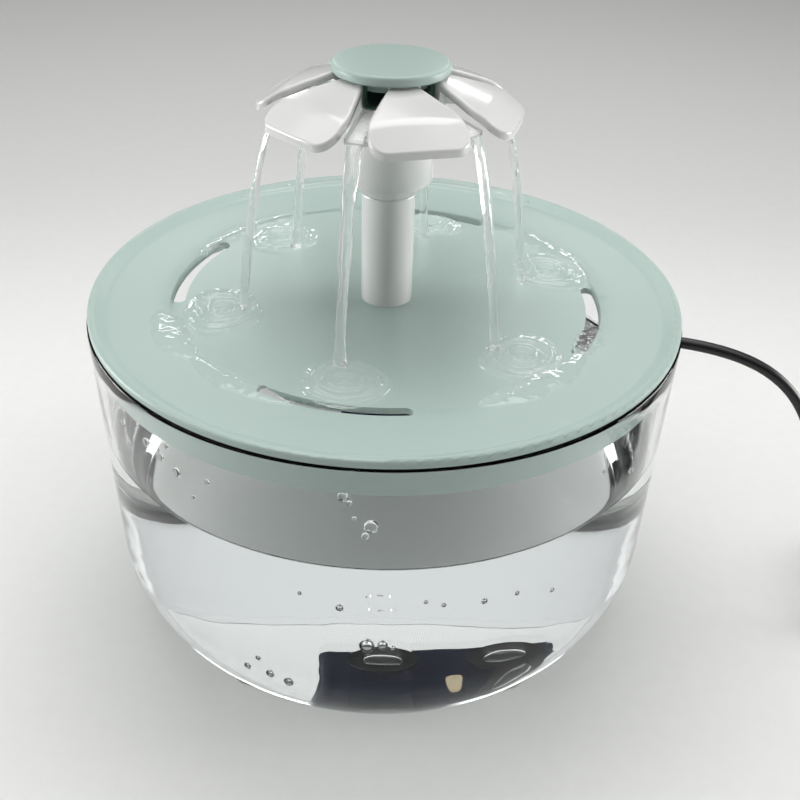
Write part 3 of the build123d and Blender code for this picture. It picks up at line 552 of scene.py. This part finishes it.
def coil_points():
    """The coil's turns, from the outside in on the floor and from the inside out on top."""
    centre, ahead, left = coil_frame()
    spiral = [(radius, COIL_LAYER_HEIGHTS[0]) for radius in COIL_TURN_RADII]
    spiral += [(radius, COIL_LAYER_HEIGHTS[1]) for radius in reversed(COIL_TURN_RADII)]
    spiral.append((COIL_TURN_RADII[0], COIL_LAYER_HEIGHTS[1]))
    total = int(COIL_TURNS * COIL_POINTS_PER_TURN)
    points = []
    for index in range(1, total + 1):
        turn = index / COIL_POINTS_PER_TURN
        low = min(int(turn), len(spiral) - 2)
        share = turn - low
        radius = spiral[low][0] + (spiral[low + 1][0] - spiral[low][0]) * share
        height = spiral[low][1] + (spiral[low + 1][1] - spiral[low][1]) * share
        angle = turn * FULL_TURN
        around_coil = ahead * math.sin(angle) - left * math.cos(angle)
        points.append(centre + (around_coil * radius + Vector((0, 0, height))) * MM)
    return points


def tail_points():
    """From the coil's last turn down to the plug's boot."""
    centre, ahead, left = coil_frame()
    start = centre + ahead * COIL_TURN_RADII[0] * MM
    return [start + left * along * MM + Vector((0, 0, height * MM)) for along, height in TAIL_ROUTE]


def lead_points():
    """The lead's way up inside the bowl, from the pump's gland to the notch."""
    way_out = cord_points()
    back = (way_out[0] - way_out[1]).normalized()
    return [
        Vector(LEAD_GLAND) * MM,
        Vector((31, 0, 78)) * MM,
        Vector((35, -2.2, 87.5)) * MM,
        Vector((44, -7.2, 95)) * MM,
        around(60, 76, 98.6),
        around(71, 75.3, 100.6),
        around(80, 75, 102.8),
        way_out[0] + back * 5.5 * MM,
        way_out[0],
    ]


def cord_curve(name, points, diameter):
    """A round cord along one smooth spline, whose points carry its radius. The bevel's own depth stays 1."""
    curve = bpy.data.curves.new(name, "CURVE")
    curve.dimensions = "3D"
    curve.bevel_depth = 1.0
    curve.bevel_resolution = 4
    curve.resolution_u = 10
    curve.use_fill_caps = True
    spline = curve.splines.new("NURBS")
    spline.points.add(len(points) - 1)
    for control, point in zip(spline.points, points):
        control.co = (*point, 1)
        control.radius = diameter / 2
    spline.order_u = 3
    spline.use_endpoint_u = True
    piece = bpy.data.objects.new(name, curve)
    bpy.context.scene.collection.objects.link(piece)
    dress(piece, "cord")
    return piece


def meshed(curve_piece):
    """A mesh piece in place of a curve piece, with the same name."""
    bpy.context.view_layer.update()
    graph = bpy.context.evaluated_depsgraph_get()
    mesh = bpy.data.meshes.new_from_object(curve_piece.evaluated_get(graph))
    name = curve_piece.name
    curve = curve_piece.data
    bpy.data.objects.remove(curve_piece)
    bpy.data.curves.remove(curve)
    piece = bpy.data.objects.new(name, mesh)
    mesh.name = name
    bpy.context.scene.collection.objects.link(piece)
    dress(piece, "cord")
    return piece


def spline_length(piece):
    """The length of a cord's centreline."""
    bevel = piece.data.bevel_depth
    piece.data.bevel_depth = 0
    bpy.context.view_layer.update()
    line = bpy.data.meshes.new_from_object(piece.evaluated_get(bpy.context.evaluated_depsgraph_get()))
    piece.data.bevel_depth = bevel
    length = sum((line.vertices[edge.vertices[0]].co - line.vertices[edge.vertices[1]].co).length
                 for edge in line.edges)
    bpy.data.meshes.remove(line)
    return length


class FOUNTAIN_OT_cord(bpy.types.Operator):
    """Makes the lead outside the bowl with its coil, the lead inside the bowl, and the plug"""
    bl_idname = "fountain.cord"
    bl_label = "Cord and plug"

    def execute(self, context):
        diameter = sizes().cord_diameter
        cord = cord_curve("usb_lead", cord_points() + coil_points() + tail_points(), diameter)
        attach(cord, "bowl")
        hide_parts("power_cord", "cord_coil", "plug_lead")
        plug = [
            smooth_copy("plug_boot", "plug"), smooth_copy("plug_body", "plug"),
            smooth_copy("plug_shell", "shell"), smooth_copy("plug_insert", "acetal"),
            smooth_copy("cord_tie", "plug"),
        ]
        spline_length(cord)
        way = lead_points()
        inner = meshed(cord_curve("pump_lead_run", way, diameter))
        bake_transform(inner)
        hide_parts("pump_lead")
        smooth_copy("lead_gland", "rubber")
        return {"FINISHED"}


# ------------------------------------------------------------------ bowl
def inner_wall_profile(top, grow=0.0):
    """The bowl's inside, from the middle of its floor to a height, moved outwards by grow, in millimetres."""
    centre_r = BOWL_SHOULDER_RADIUS - BOWL_CURVE_RADIUS
    outer_rise = math.sqrt(BOWL_CURVE_RADIUS ** 2 - (BOWL_BASE_RADIUS - centre_r) ** 2)
    shoulder = FOOT_STAND + outer_rise
    radius = BOWL_CURVE_RADIUS - BOWL_WALL + grow
    floor = FLOOR_HEIGHT - grow
    low_angle = -math.degrees(math.asin((shoulder - floor) / radius))
    curve = arc((centre_r, shoulder), radius, low_angle, 0, 24)
    # A short curve eases the flat floor into the wall's curve, where they would else meet at an edge.
    corner = 3.0
    flat_end = (curve[0][0] - corner, floor)
    flats = [(80.0 * i / 8, floor) for i in range(8)]
    shares = (0.3, 0.65)
    eased = [curve[2][0] * t * t + 2 * (1 - t) * t * curve[0][0] + (1 - t) ** 2 * flat_end[0] for t in shares]
    eased_z = [curve[2][1] * t * t + 2 * (1 - t) * t * floor + (1 - t) ** 2 * floor for t in shares]
    points = flats + [flat_end] + list(zip(eased, eased_z)) + curve[2:]
    slope = (BOWL_LIP_RADIUS - BOWL_SHOULDER_RADIUS) / (BOWL_LIP_HEIGHT - shoulder)
    steps = 12
    for index in range(1, steps + 1):
        height = shoulder + (top - shoulder) * index / steps
        points.append((curve[-1][0] + slope * (height - shoulder), height))
    return points


def bowl_profile():
    """The bowl's closed outline from the axis, in millimetres."""
    centre_r = BOWL_SHOULDER_RADIUS - BOWL_CURVE_RADIUS
    rise = math.sqrt(BOWL_CURVE_RADIUS ** 2 - (BOWL_BASE_RADIUS - centre_r) ** 2)
    shoulder = FOOT_STAND + rise
    low_angle = -math.degrees(math.asin(rise / BOWL_CURVE_RADIUS))
    base_round = 1.0
    # A shallow round groove, where the moulding's gate was.
    gate_ring = [(0.0, 0.0), (5.05, 0.0), (5.05, 0.5), (5.95, 0.5), (5.95, 0.0)]
    outside = [(radius, FOOT_STAND + groove) for radius, groove in gate_ring]
    outside += [(BOWL_BASE_RADIUS * i / 9, FOOT_STAND) for i in range(1, 9)]
    outside.append((BOWL_BASE_RADIUS - base_round, FOOT_STAND))
    outside.append((BOWL_BASE_RADIUS - 0.2, FOOT_STAND + 0.2))
    outside += arc((centre_r, shoulder), BOWL_CURVE_RADIUS, low_angle + 2.0, 0, 26)
    for index in range(1, 12):
        share = index / 12
        outside.append((BOWL_SHOULDER_RADIUS + (BOWL_LIP_RADIUS - BOWL_SHOULDER_RADIUS) * share,
                        shoulder + (BOWL_LIP_HEIGHT - shoulder) * share))
    lip_round = 0.8
    lip_top = BOWL_LIP_HEIGHT
    outside += arc((BOWL_LIP_RADIUS - lip_round, lip_top - lip_round), lip_round, 0, 90, 4)
    inner_lip = BOWL_LIP_RADIUS - BOWL_WALL
    outside += arc((inner_lip + lip_round, lip_top - lip_round), lip_round, 90, 180, 4)
    inside = inner_wall_profile(lip_top - 2 * lip_round)
    return outside + list(reversed(inside))


def carve(piece, cutter):
    """Cuts one piece's mesh by a cutter and removes the cutter."""
    cut = piece.modifiers.new("cut", "BOOLEAN")
    cut.operation = "DIFFERENCE"
    cut.solver = "EXACT"
    cut.object = cutter
    bpy.context.view_layer.update()
    mesh = bpy.data.meshes.new_from_object(piece.evaluated_get(bpy.context.evaluated_depsgraph_get()))
    piece.modifiers.remove(cut)
    old = piece.data
    name = old.name
    piece.data = mesh
    bpy.data.meshes.remove(old)
    piece.data.name = name
    cutter_mesh = cutter.data
    bpy.data.objects.remove(cutter)
    bpy.data.meshes.remove(cutter_mesh)


def notch_cutter():
    """A round-bottomed bar where the cord crosses the bowl's lip."""
    shape = bmesh.new()
    radius = sizes().cord_diameter / 2 + 0.3 * MM
    middle = around(BOWL_LIP_RADIUS - 2, CORD_AZIMUTH, CORD_EXIT_HEIGHT)
    turn = Matrix.Rotation(math.radians(CORD_AZIMUTH - 90), 4, "Z")
    lying = Matrix.Translation(middle) @ turn @ Matrix.Rotation(math.radians(90), 4, "Y")
    bmesh.ops.create_cone(shape, cap_ends=True, segments=32, radius1=radius, radius2=radius, depth=16 * MM,
                          matrix=lying)
    upper = [vert for vert in shape.verts if vert.co.z > CORD_EXIT_HEIGHT * MM + 0.2 * radius]
    for vert in upper:
        vert.co.z += 6 * MM
    mesh = bpy.data.meshes.new("notch_cutter")
    shape.to_mesh(mesh)
    shape.free()
    cutter = bpy.data.objects.new("notch_cutter", mesh)
    bpy.context.scene.collection.objects.link(cutter)
    return cutter


class FOUNTAIN_OT_bowl(bpy.types.Operator):
    """Makes the clear bowl with its notch for the cord, and dresses its feet"""
    bl_idname = "fountain.bowl"
    bl_label = "Bowl"

    def execute(self, context):
        bowl = add_piece("clear_bowl", spun(bowl_profile(), closed=False), "clear", "bowl", ("bowl",),
                         smooth_angle=50)
        carve(bowl, notch_cutter())
        dress(bowl, "clear", 50)
        lets_light_through(bowl)
        smooth_copy("bowl_feet", "silicone")
        return {"FINISHED"}


# ------------------------------------------------------------------ tray, riser and flower
class FOUNTAIN_OT_tray(bpy.types.Operator):
    """Dresses the tray"""
    bl_idname = "fountain.tray"
    bl_label = "Tray"

    def execute(self, context):
        even_shading(smooth_copy("tray", "sage"))
        return {"FINISHED"}


class FOUNTAIN_OT_riser(bpy.types.Operator):
    """Makes the riser tube with its bead"""
    bl_idname = "fountain.riser"
    bl_label = "Riser tube"

    def execute(self, context):
        low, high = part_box("riser_tube")
        bottom = low[2] / MM
        top = high[2] / MM
        inner = 6.6
        bead = [(8.35, 141.0), (8.45, 141.2), (8.45, 141.4), (8.35, 141.6)]
        profile = [(inner + 0.5, bottom), (RISER_RADIUS - 0.2, bottom), (RISER_RADIUS, bottom + 0.2),
                   (RISER_RADIUS, 140.9), *bead, (RISER_RADIUS, 141.7), (RISER_RADIUS, top - 0.2),
                   (RISER_RADIUS - 0.2, top), (inner, top), (inner, bottom + 0.5)]
        add_piece("riser_tube_turned", spun(profile, steps=96), "white", "riser", ("riser_tube",))
        return {"FINISHED"}


class FOUNTAIN_OT_flower(bpy.types.Operator):
    """Dresses the flower head, its core and its cap"""
    bl_idname = "fountain.flower"
    bl_label = "Flower"

    def execute(self, context):
        even_shading(smooth_copy("flower_head", "white", 32))
        smooth_copy("flower_core", "deep_green")
        even_shading(smooth_copy("flower_cap", "sage", 40))
        return {"FINISHED"}


# ------------------------------------------------------------------ pump
PUMP_FINISHES = {
    "pump_housing": "navy", "pump_base": "navy", "pump_cover": "navy", "intake_sponge": "foam",
    "volute_plate": "navy", "impeller": "acetal", "rotor_magnet": "ferrite", "rotor_shaft": "shaft",
    "front_bush": "rubber", "rear_bush": "rubber", "stator_core": "stator", "stator_windings": "copper",
    "driver_board": "board", "led_lens": "lamp", "outlet_nozzle": "navy", "outlet_seal": "rubber",
    "suction_cups": "rubber",
}


class FOUNTAIN_OT_pump(bpy.types.Operator):
    """Dresses the pump, inside and out"""
    bl_idname = "fountain.pump"
    bl_label = "Pump"

    def execute(self, context):
        for node, finish_name in PUMP_FINISHES.items():
            even_shading(smooth_copy(node, finish_name))
        return {"FINISHED"}


# ------------------------------------------------------------------ water
def oval_place(point, along, across, half_width, half_depth):
    """The matrix that puts a unit circle at a point as an oval square to a direction."""
    along = along.normalized()
    across = (across - along * across.dot(along)).normalized()
    axes = Matrix((across * half_width, along.cross(across) * half_depth, along * half_depth))
    place = axes.transposed().to_4x4()
    place.translation = point
    return place


def drawn_out(places, segments=20):
    """A closed bmesh drawn through a row of ovals."""
    shape = bmesh.new()
    bmesh.ops.create_circle(shape, cap_ends=False, segments=segments, radius=1.0, matrix=places[0])
    edges = list(shape.edges)
    for before, after in zip(places, places[1:]):
        grown = bmesh.ops.extrude_edge_only(shape, edges=edges)["geom"]
        moved = {item for item in grown if isinstance(item, bmesh.types.BMVert)}
        edges = [item for item in grown if isinstance(item, bmesh.types.BMEdge) and set(item.verts) <= moved]
        bmesh.ops.transform(shape, matrix=after @ before.inverted(), verts=list(moved))
    bmesh.ops.holes_fill(shape, edges=shape.edges, sides=0)
    bmesh.ops.recalc_face_normals(shape, faces=shape.faces)
    return shape


def ripple(point, size_mm, seed):
    """A smooth irregularity from -1 to 1 that repeats from run to run."""
    return noise.noise(Vector(point) / (size_mm * MM) + Vector((seed, 0, 0)))


# Along each spout: distance from the axis, height, half width as a share of the stream's, half depth, in mm.
SPOUT_WATER = [
    (15.6, 170.2, 1.1, 0.45), (20.0, 169.7, 1.1, 0.5), (26.0, 168.9, 1.05, 0.5), (31.0, 168.1, 1.0, 0.55),
]
# The water's speed outwards and down where it leaves the spout, half of gravity, and how long it falls, in
# millimetres and seconds.
STREAM_SPEED = 135.0
STREAM_DROP_SPEED = 19.0
HALF_GRAVITY = 4905.0
STREAM_LANDING = 0.1105
STREAM_STEPS = 34
# The last steps widen, where the water meets the tray.
STREAM_FOOT_STEPS = 3


def stream_places(azimuth, seed):
    """The ovals of one stream, from its window along the spout and down to the tray."""
    half = sizes().stream_width / 2
    line = [(r, z, share * half, depth * MM) for r, z, share, depth in SPOUT_WATER]
    for index in range(1, STREAM_STEPS + 1):
        share = index / STREAM_STEPS
        time = STREAM_LANDING * share ** 0.8
        radius = SPOUT_WATER[-1][0] + STREAM_SPEED * time
        height = SPOUT_WATER[-1][1] - STREAM_DROP_SPEED * time - HALF_GRAVITY * time * time
        width = half * (1.0 - 0.42 * share)
        depth = (0.55 + 0.75 * min(1.0, share * 1.6)) * MM
        if index > STREAM_STEPS - STREAM_FOOT_STEPS:
            width *= 1.0 + 0.25 * (index - STREAM_STEPS + STREAM_FOOT_STEPS)
        line.append((radius, height, width, depth))
    across = around(1, azimuth + 90, 0) / MM
    centres = []
    for radius, height, width, depth in line:
        sway = 0.9 * ripple((0, 0, height * MM), 26, seed) * min(1.0, max(0.0, (168 - height) / 30))
        centres.append(around(radius, azimuth, height) + across * sway * MM)
    places = []
    for index, (radius, height, width, depth) in enumerate(line):
        before = centres[max(index - 1, 0)]
        after = centres[min(index + 1, len(centres) - 1)]
        swell = 1.0 + 0.22 * ripple((0, seed * 0.01, height * MM), 7, seed)
        places.append(oval_place(centres[index], after - before, across,
                                 width * swell, depth * (2.0 - swell)))
    return places


def puddle(radius, seed):
    """A bmesh of one round puddle on the axis: rings of ripples inside a wavy, rounded rim."""
    depth = sizes().puddle_depth / MM
    rings = 16
    rim = 2.0
    sunk = -0.12
    profile = [(0.0, depth * 1.2)]
    for index in range(1, rings):
        out = (radius - rim) * index / rings
        wave = 0.5 * math.cos(FULL_TURN * out / (0.34 * radius)) * (1.0 - 0.5 * index / rings)
        profile.append((out, depth * (0.85 + wave)))
    profile += [(radius - rim * (1 - math.sin(a)), depth * math.cos(a) * 0.95)
                for a in (math.radians(step * 15) for step in range(1, 6))]
    profile += [(radius, 0.05), (radius, sunk), (0.6 * radius, sunk), (0.0, sunk)]
    shape = spun(profile, steps=72, closed=False)
    for vert in shape.verts:
        out = math.hypot(vert.co.x, vert.co.y)
        if out < 0.001 * MM:
            continue
        side = vert.co.xy / out
        wavy = 1.0 + 0.16 * ripple((side.x * 0.02, side.y * 0.02, 0), 17, seed) * (out / (radius * MM)) ** 2
        vert.co.x *= wavy
        vert.co.y *= wavy
        if vert.co.z > 0.1 * MM:
            vert.co.z += 0.22 * MM * ripple(vert.co, 4.5, seed)
    return shape


# Where each stream's puddle lies on the tray: distance from the axis, azimuth, radius across and along, in mm.
PUDDLES = [
    (53.5, -12.0, 14.0, 11.5), (54.5, 47.0, 13.5, 12.0), (56.5, 108.0, 14.0, 12.5),
    (55.0, 164.0, 12.0, 9.0), (53.5, 223.0, 13.5, 10.5), (52.5, 285.0, 14.5, 12.5),
]
# Films of water over the drain slots and on the far rim: first and last azimuth, radius, half width and height
# above the disc, in mm.
FILMS = [
    (-79.0, -52.0, 70.0, 6.0, 0.3), (-55.0, -21.0, 68.5, 4.5, 0.15), (22.0, 60.0, 67.5, 6.0, 0.15),
    (58.0, 74.0, 67.0, 4.5, 0.15), (100.0, 140.0, 67.5, 5.0, 0.15), (205.0, 250.0, 68.0, 4.0, 0.15),
    (143.0, 172.0, 88.3, 1.9, 2.8), (188.0, 219.0, 88.3, 1.9, 2.8),
]
# The air that the pump's suction cups hold: each cup's place along the pump, and the bubble's outline in mm.
CUP_PLACES = (1.0, 31.0)
CUP_BOTTOM_HEIGHT = 30.8
CUP_AIR = [(0.0, 0.35), (2.0, 0.36), (3.6, 0.42), (4.7, 0.56), (5.2, 0.76), (5.0, 0.82), (0.0, 1.7)]
# Drops that cling to the bowl's inside above the water, and bubbles under it: azimuth, height and radius.
WALL_DROPS = [
    (-6.3, 97.3, 1.5), (-5.2, 95.4, 0.8), (-1.7, 87.7, 1.9), (-2.6, 84.6, 1.0), (-4.4, 90.5, 0.6),
    (-45.2, 93.6, 1.3), (-41.1, 91.9, 1.0), (-37.4, 89.8, 1.4), (-39.2, 97.2, 0.8), (-30.3, 91.6, 0.9),
    (-53.1, 93.5, 0.9), (-34.0, 84.0, 0.7), (41.5, 89.4, 0.8), (51.6, 81.0, 1.0),
]
WALL_BUBBLES = [
    (-7.0, 57.5, 1.1), (11.1, 58.3, 0.7), (18.6, 57.0, 0.9), (25.0, 56.6, 0.7), (7.9, 60.2, 0.6),
    (-2.2, 42.9, 2.2), (0.6, 43.4, 1.5), (2.4, 42.2, 0.9), (-25.7, 23.4, 1.1), (-20.9, 23.4, 1.3),
    (-17.2, 22.0, 1.5), (-23.1, 29.0, 0.8), (-14.0, 61.0, 0.6), (33.0, 52.0, 0.7),
]


def beads(places, flatten):
    """A bmesh of small rounded beads on the bowl's inside, pressed towards the wall."""
    wall = inner_wall_profile(BOWL_LIP_HEIGHT - 2)
    shape = bmesh.new()
    for azimuth, height, radius in places:
        near = min(range(1, len(wall)), key=lambda index: abs(wall[index][1] - height))
        low, high = sorted((wall[near - 1], wall[near]), key=lambda point: point[1])
        share = (height - low[1]) / max(high[1] - low[1], 0.001)
        out = low[0] + (high[0] - low[0]) * min(1.0, max(0.0, share))
        facing = Matrix.Rotation(math.radians(azimuth), 4, "Z")
        squash = Matrix.Diagonal((radius * MM, radius * MM * flatten, radius * MM * 1.15, 1.0))
        place = Matrix.Translation(around(out - 0.35 * radius * flatten, azimuth, height)) @ facing @ squash
        bmesh.ops.create_icosphere(shape, subdivisions=3, radius=1.0, matrix=place)
    return shape


def add_water(name, shape, finish_name, body, smooth_angle=75):
    """A piece of water or air, which stands for no solid and lets the light through to what lies under it."""
    lets_light_through(add_piece(name, shape, finish_name, body, smooth_angle=smooth_angle))


class FOUNTAIN_OT_streams(bpy.types.Operator):
    """Makes the streams that fall from the flower's spouts"""
    bl_idname = "fountain.streams"
    bl_label = "Falling streams"

    def execute(self, context):
        for index in range(6):
            azimuth = SPOUT_FIRST_AZIMUTH + FLOWER_PITCH * index
            shape = drawn_out(stream_places(azimuth, 3.7 * index + 1.3))
            add_water(f"stream_{index + 1}", shape, "running_water", "flower")
        return {"FINISHED"}


class FOUNTAIN_OT_puddles(bpy.types.Operator):
    """Makes the puddles and films of water on the tray"""
    bl_idname = "fountain.puddles"
    bl_label = "Water on the tray"

    def execute(self, context):
        for index, (out, azimuth, half_across, half_along) in enumerate(PUDDLES):
            shape = puddle(half_across, 5.1 * index + 0.7)
            stretch = Matrix.Diagonal((1.0, half_along / half_across, 1.0, 1.0))
            turn = Matrix.Rotation(math.radians(azimuth), 4, "Z")
            place = Matrix.Translation(around(out, azimuth, TRAY_DISC_HEIGHT))
            bmesh.ops.transform(shape, matrix=place @ turn @ stretch, verts=shape.verts)
            add_water(f"puddle_{index + 1}", shape, "spread_water", "tray")
        for index, (first, last, radius, half_width, rise) in enumerate(FILMS):
            places = []
            steps = 36
            for step in range(steps + 1):
                share = step / steps
                azimuth = first + (last - first) * share
                taper = max(0.06, math.sin(math.pi * share) ** 0.45)
                out = radius + 0.2 * half_width * ripple((share * 0.02, 0, 0), 4, index)
                point = around(out, azimuth, TRAY_DISC_HEIGHT + rise)
                wavy = 1.0 + 0.28 * ripple((share * 0.03, 0, 0), 3.5, index + 9.5)
                places.append(oval_place(point, around(1, azimuth + 90, 0), around(1, azimuth, 0),
                                         half_width * MM * taper * wavy,
                                         min(1.7, 0.55 * half_width) * MM * taper ** 0.5))
            add_water(f"film_{index + 1}", drawn_out(places, segments=28), "spread_water", "tray")
        return {"FINISHED"}


class FOUNTAIN_OT_water(bpy.types.Operator):
    """Fills the bowl with water up to the water level, with drops above it and bubbles in it"""
    bl_idname = "fountain.water"
    bl_label = "Water in the bowl"

    def execute(self, context):
        level = sizes().water_level / MM
        bite = 0.15
        profile = inner_wall_profile(level + 1.4, grow=bite)
        edge = profile[-1][0]
        meniscus = [(edge - 0.35, level + 0.7), (edge - 0.9, level + 0.3), (edge - 1.8, level + 0.1),
                    (edge - 3.2, level)]
        flats = [(edge * (1 - i / 10), level) for i in range(1, 10)]
        shape = spun(profile + meniscus + flats + [(0.0, level)], closed=False)
        add_water("water_fill", shape, "still_water", "bowl", smooth_angle=60)
        # Of all the clear pieces, this one alone casts a shadow, which grounds the bowl.
        bpy.data.objects["water_fill"].visible_shadow = True
        add_water("wall_drops", beads(WALL_DROPS, 0.6), "still_water", "bowl")
        add_water("wall_bubbles", beads(WALL_BUBBLES, 0.9), "air", "bowl")
        for index, place in enumerate(CUP_PLACES):
            shape = spun(CUP_AIR, steps=48, closed=False)
            bmesh.ops.translate(shape, vec=Vector((place, 0, CUP_BOTTOM_HEIGHT)) * MM, verts=shape.verts)
            add_water(f"cup_air_{index + 1}", shape, "air", "tray", smooth_angle=50)
        return {"FINISHED"}


# ------------------------------------------------------------------ studio
# The camera's place in metres and its turn in degrees.
CAMERA_PLACE = (0.0, -0.28444, 0.25988)
CAMERA_TURN = (55.5834, -1.4903, -0.0732)


def place_camera():
    data = bpy.data.cameras.new("camera")
    data.lens = sizes().camera_lens
    data.sensor_width = 36.0
    data.clip_start = 0.01
    camera = bpy.data.objects.new("camera", data)
    bpy.context.scene.collection.objects.link(camera)
    camera.location = CAMERA_PLACE
    camera.rotation_euler = Euler([math.radians(angle) for angle in CAMERA_TURN], "XYZ")
    bpy.context.scene.camera = camera


def soft_light(name, place, aim, width, height, power, spread=180):
    """A rectangular soft light at a place in metres that faces a point, its beam spread over some degrees."""
    data = bpy.data.lights.new(name, "AREA")
    data.shape = "RECTANGLE"
    data.size = width
    data.size_y = height
    data.energy = power
    data.spread = math.radians(spread)
    light = bpy.data.objects.new(name, data)
    bpy.context.scene.collection.objects.link(light)
    light.location = place
    light.rotation_euler = (Vector(aim) - Vector(place)).to_track_quat("-Z", "Y").to_euler()


class FOUNTAIN_OT_studio(bpy.types.Operator):
    """Sets up the camera, the soft lights and the pale floor"""
    bl_idname = "fountain.studio"
    bl_label = "Studio"

    def execute(self, context):
        place_camera()
        shape = bmesh.new()
        bmesh.ops.create_grid(shape, x_segments=8, y_segments=8, size=3.0)
        mesh = bpy.data.meshes.new("studio_floor")
        shape.to_mesh(mesh)
        shape.free()
        floor = bpy.data.objects.new("studio_floor", mesh)
        bpy.context.scene.collection.objects.link(floor)
        dress(floor, "paper")
        # Each light: its place and aim in metres, its width and height in metres, and its power in watts.
        aim = (0.0, 0.0, 0.1)
        soft_light("overhead_softbox", (0.0, 0.0, 0.8), (0.0, -0.02, 0.0), 1.2, 0.8, 5.0)
        soft_light("wide_back_softbox", (0.0, 1.35, 1.35), aim, 3.4, 1.0, 7.4)
        soft_light("high_softbox", (0.0, 0.9, 2.1), aim, 1.6, 1.0, 16.0)
        soft_light("front_softbox", (0.0, -1.0, 0.25), (0.0, 0.0, 0.08), 0.8, 0.3, 0.9)
        for side in (-1, 1):
            soft_light("wide_side_softbox", (side * 1.5, 0.0, 1.3), aim, 2.4, 1.0, 5.2)
            soft_light("strip_back", (side * 0.45, 1.6, 0.85), aim, 0.5, 0.08, 1.9)
            soft_light("strip_front", (side * 0.7, -0.5, 0.9), aim, 0.06, 0.3, 0.4)
            soft_light("side_softbox", (side * 0.6, 0.08, 0.16), (0.0, 0.0, 0.13), 0.35, 0.22, 0.45,
                       spread=60)
        soft_light("wide_front_softbox", (0.0, -1.5, 1.3), aim, 2.4, 1.0, 5.2)
        for light in bpy.context.scene.objects:
            if light.type == "LIGHT":
                # The wide panels are seen only through clear pieces, and the strips through those and as glints.
                # The front softbox lights only what isn't glossy or clear.
                light.visible_diffuse = not light.name.startswith(("wide", "strip"))
                light.visible_glossy = not light.name.startswith(("wide", "front"))
                light.visible_transmission = not light.name.startswith("front")
        world = bpy.data.worlds.new("studio_air")
        world.use_nodes = True
        background = world.node_tree.nodes["Background"]
        background.inputs["Color"].default_value = linear("E3E5E6")
        background.inputs["Strength"].default_value = 0.11
        context.scene.world = world
        context.scene.view_settings.view_transform = "Standard"
        return {"FINISHED"}


# ------------------------------------------------------------------ panel and registration
OPERATORS = (
    FOUNTAIN_OT_studio, FOUNTAIN_OT_cord, FOUNTAIN_OT_bowl, FOUNTAIN_OT_tray, FOUNTAIN_OT_riser,
    FOUNTAIN_OT_flower, FOUNTAIN_OT_pump, FOUNTAIN_OT_water, FOUNTAIN_OT_streams, FOUNTAIN_OT_puddles,
)


class FOUNTAIN_PT_panel(bpy.types.Panel):
    """Lists the fountain's sizes, its colours and its steps"""
    bl_idname = "FOUNTAIN_PT_panel"
    bl_label = "Pet water fountain"
    bl_space_type = "VIEW_3D"
    bl_region_type = "UI"
    bl_category = "Fountain"

    def draw(self, context):
        for group in (context.scene.fountain_sizes, context.scene.fountain_colours):
            for name in group.__annotations__:
                self.layout.prop(group, name)
        for operator in OPERATORS:
            self.layout.operator(operator.bl_idname)


CLASSES = (FountainSizes, FountainColours, *OPERATORS, FOUNTAIN_PT_panel)


def register():
    for item in CLASSES:
        bpy.utils.register_class(item)
    bpy.types.Scene.fountain_sizes = bpy.props.PointerProperty(type=FountainSizes)
    bpy.types.Scene.fountain_colours = bpy.props.PointerProperty(type=FountainColours)


def unregister():
    del bpy.types.Scene.fountain_sizes
    del bpy.types.Scene.fountain_colours
    for item in reversed(CLASSES):
        bpy.utils.unregister_class(item)


def main():
    register()
    for operator in OPERATORS:
        group, name = operator.bl_idname.split(".")
        getattr(getattr(bpy.ops, group), name)()


if __name__ == "__main__":
    main()
